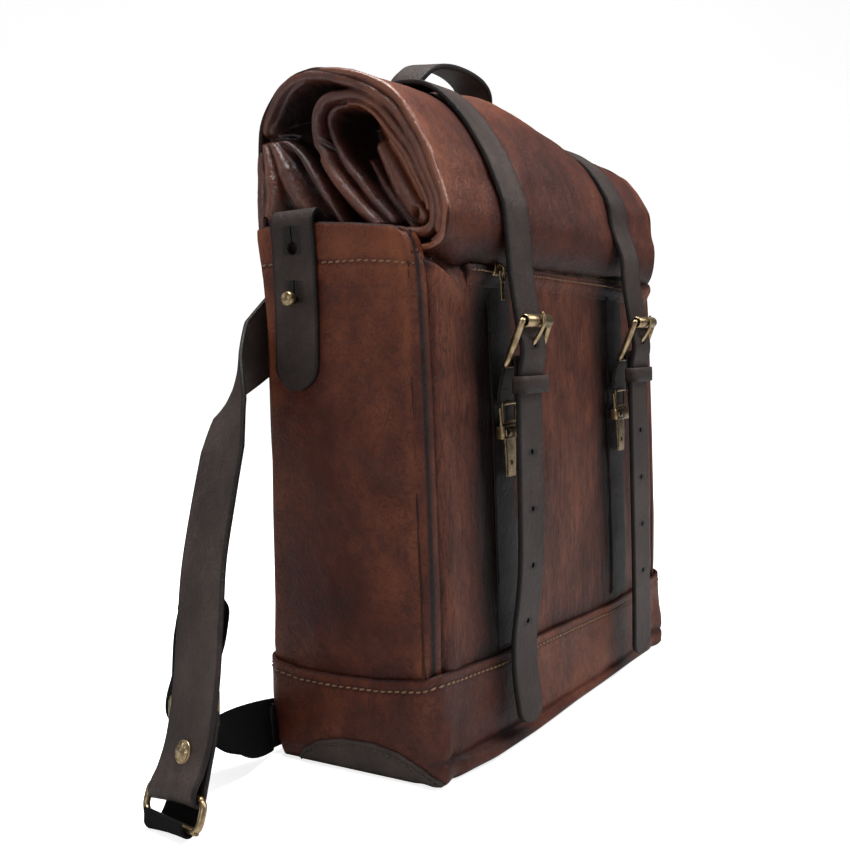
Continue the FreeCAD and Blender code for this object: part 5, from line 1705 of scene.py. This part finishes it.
cad_materials = {"base_board": BOARD}
for node_name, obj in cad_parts.items():
    if not obj.hide_render:
        obj.data.materials.clear()
        obj.data.materials.append(cad_materials.get(node_name, DARK))


# ------------------------------------------------------------------ floor, light and camera
def stage_floor():
    """A pale sweep: a level floor that curves up into a far wall."""
    profile = [(-6000, 0), (2200, 0), (3000, 60), (3700, 300), (4200, 800), (4400, 1600), (4400, 6000)]
    vertices, faces = [], []
    for deep, height in profile:
        for wide in (-9000, 9000):
            vertices.append(SWEEP_TURN @ Vector((wide, deep, height)) * MM)
    for row in range(len(profile) - 1):
        faces.append([2 * row, 2 * row + 1, 2 * row + 3, 2 * row + 2])
    mesh = bpy.data.meshes.new("floor")
    mesh.from_pydata([tuple(v) for v in vertices], [], faces)
    mesh.polygons.foreach_set("use_smooth", [True] * len(faces))
    obj = bpy.data.objects.new("floor", mesh)
    bpy.context.scene.collection.objects.link(obj)
    pale, tree, shader = new_material("floor_pale")
    grain = textured(tree, "ShaderNodeTexNoise", 3, Detail=5.0)
    seen = node(tree, "ShaderNodeLightPath").outputs["Is Camera Ray"]
    colour = ramp(tree, grain.outputs["Fac"], [(0.3, (0.9, 0.9, 0.9)), (0.7, (0.92, 0.92, 0.92))])
    tree.links.new(mixed(tree, seen, (0.6, 0.6, 0.6), colour), shader.inputs["Base Color"])
    tree.links.new(mixed(tree, seen, (0, 0, 0), (1, 1, 1)), shader.inputs["Emission Color"])
    shader.inputs["Emission Strength"].default_value = 0.78
    shader.inputs["Roughness"].default_value = 0.9
    mesh.materials.append(pale)
    obj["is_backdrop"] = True


def area_light(name, place, target, size, power):
    """A rectangular light aimed at a target."""
    data = bpy.data.lights.new(name, "AREA")
    data.shape = "RECTANGLE"
    data.size, data.size_y = size
    data.energy = power
    obj = bpy.data.objects.new(name, data)
    obj.location = place
    obj.rotation_euler = (Vector(target) - Vector(place)).to_track_quat("-Z", "Y").to_euler()
    bpy.context.scene.collection.objects.link(obj)


SWEEP_TURN = Matrix.Rotation(math.radians(-57), 3, "Z")
stage_floor()
area_light("key", (0.9, -1.5, 1.6), (0, 0, 0.25), (1.2, 1.2), 24)
area_light("top", (-0.1, 0.0, 2.0), (0, 0, 0.3), (1.0, 1.0), 56)
area_light("fill", (-1.9, -0.3, 0.8), (0, 0, 0.2), (1.2, 0.8), 5)
area_light("rear", (-0.9, 1.6, 1.0), (0, 0, 0.3), (1.0, 1.0), 2.5)
world = bpy.data.worlds.new("studio")
world.use_nodes = True
sky = world.node_tree
sky_ray = node(sky, "ShaderNodeLightPath").outputs["Is Camera Ray"]
sky.nodes["Background"].inputs["Color"].default_value = (1, 1, 1, 1)
sky.links.new(maths(sky, "ADD", maths(sky, "MULTIPLY", sky_ray, 0.9), 0.15),
              sky.nodes["Background"].inputs["Strength"])
bpy.context.scene.world = world
bpy.context.scene.view_settings.view_transform = "Standard"

azimuth, elevation, roll = (math.radians(a) for a in (-57.18, 3.78, -1.86))
back_way = Vector((math.sin(azimuth) * math.cos(elevation),
                   -math.cos(azimuth) * math.cos(elevation), math.sin(elevation)))
right_way = (-back_way).cross(UP).normalized()
up_way = right_way.cross(-back_way)
tilted_right = right_way * math.cos(roll) + up_way * math.sin(roll)
tilted_up = up_way * math.cos(roll) - right_way * math.sin(roll)
camera_data = bpy.data.cameras.new("camera")
camera_data.sensor_width = 36
camera_data.lens = 46.55
camera = bpy.data.objects.new("camera", camera_data)
turn = Matrix((tilted_right, tilted_up, back_way)).transposed().to_4x4()
camera.matrix_world = Matrix.Translation((-0.6817, -0.3877, 0.2473)) @ turn
bpy.context.scene.collection.objects.link(camera)
bpy.context.scene.camera = camera

NEW_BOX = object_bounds()
[[list(corner) for corner in box] for box in (CAD_BOX, NEW_BOX)]
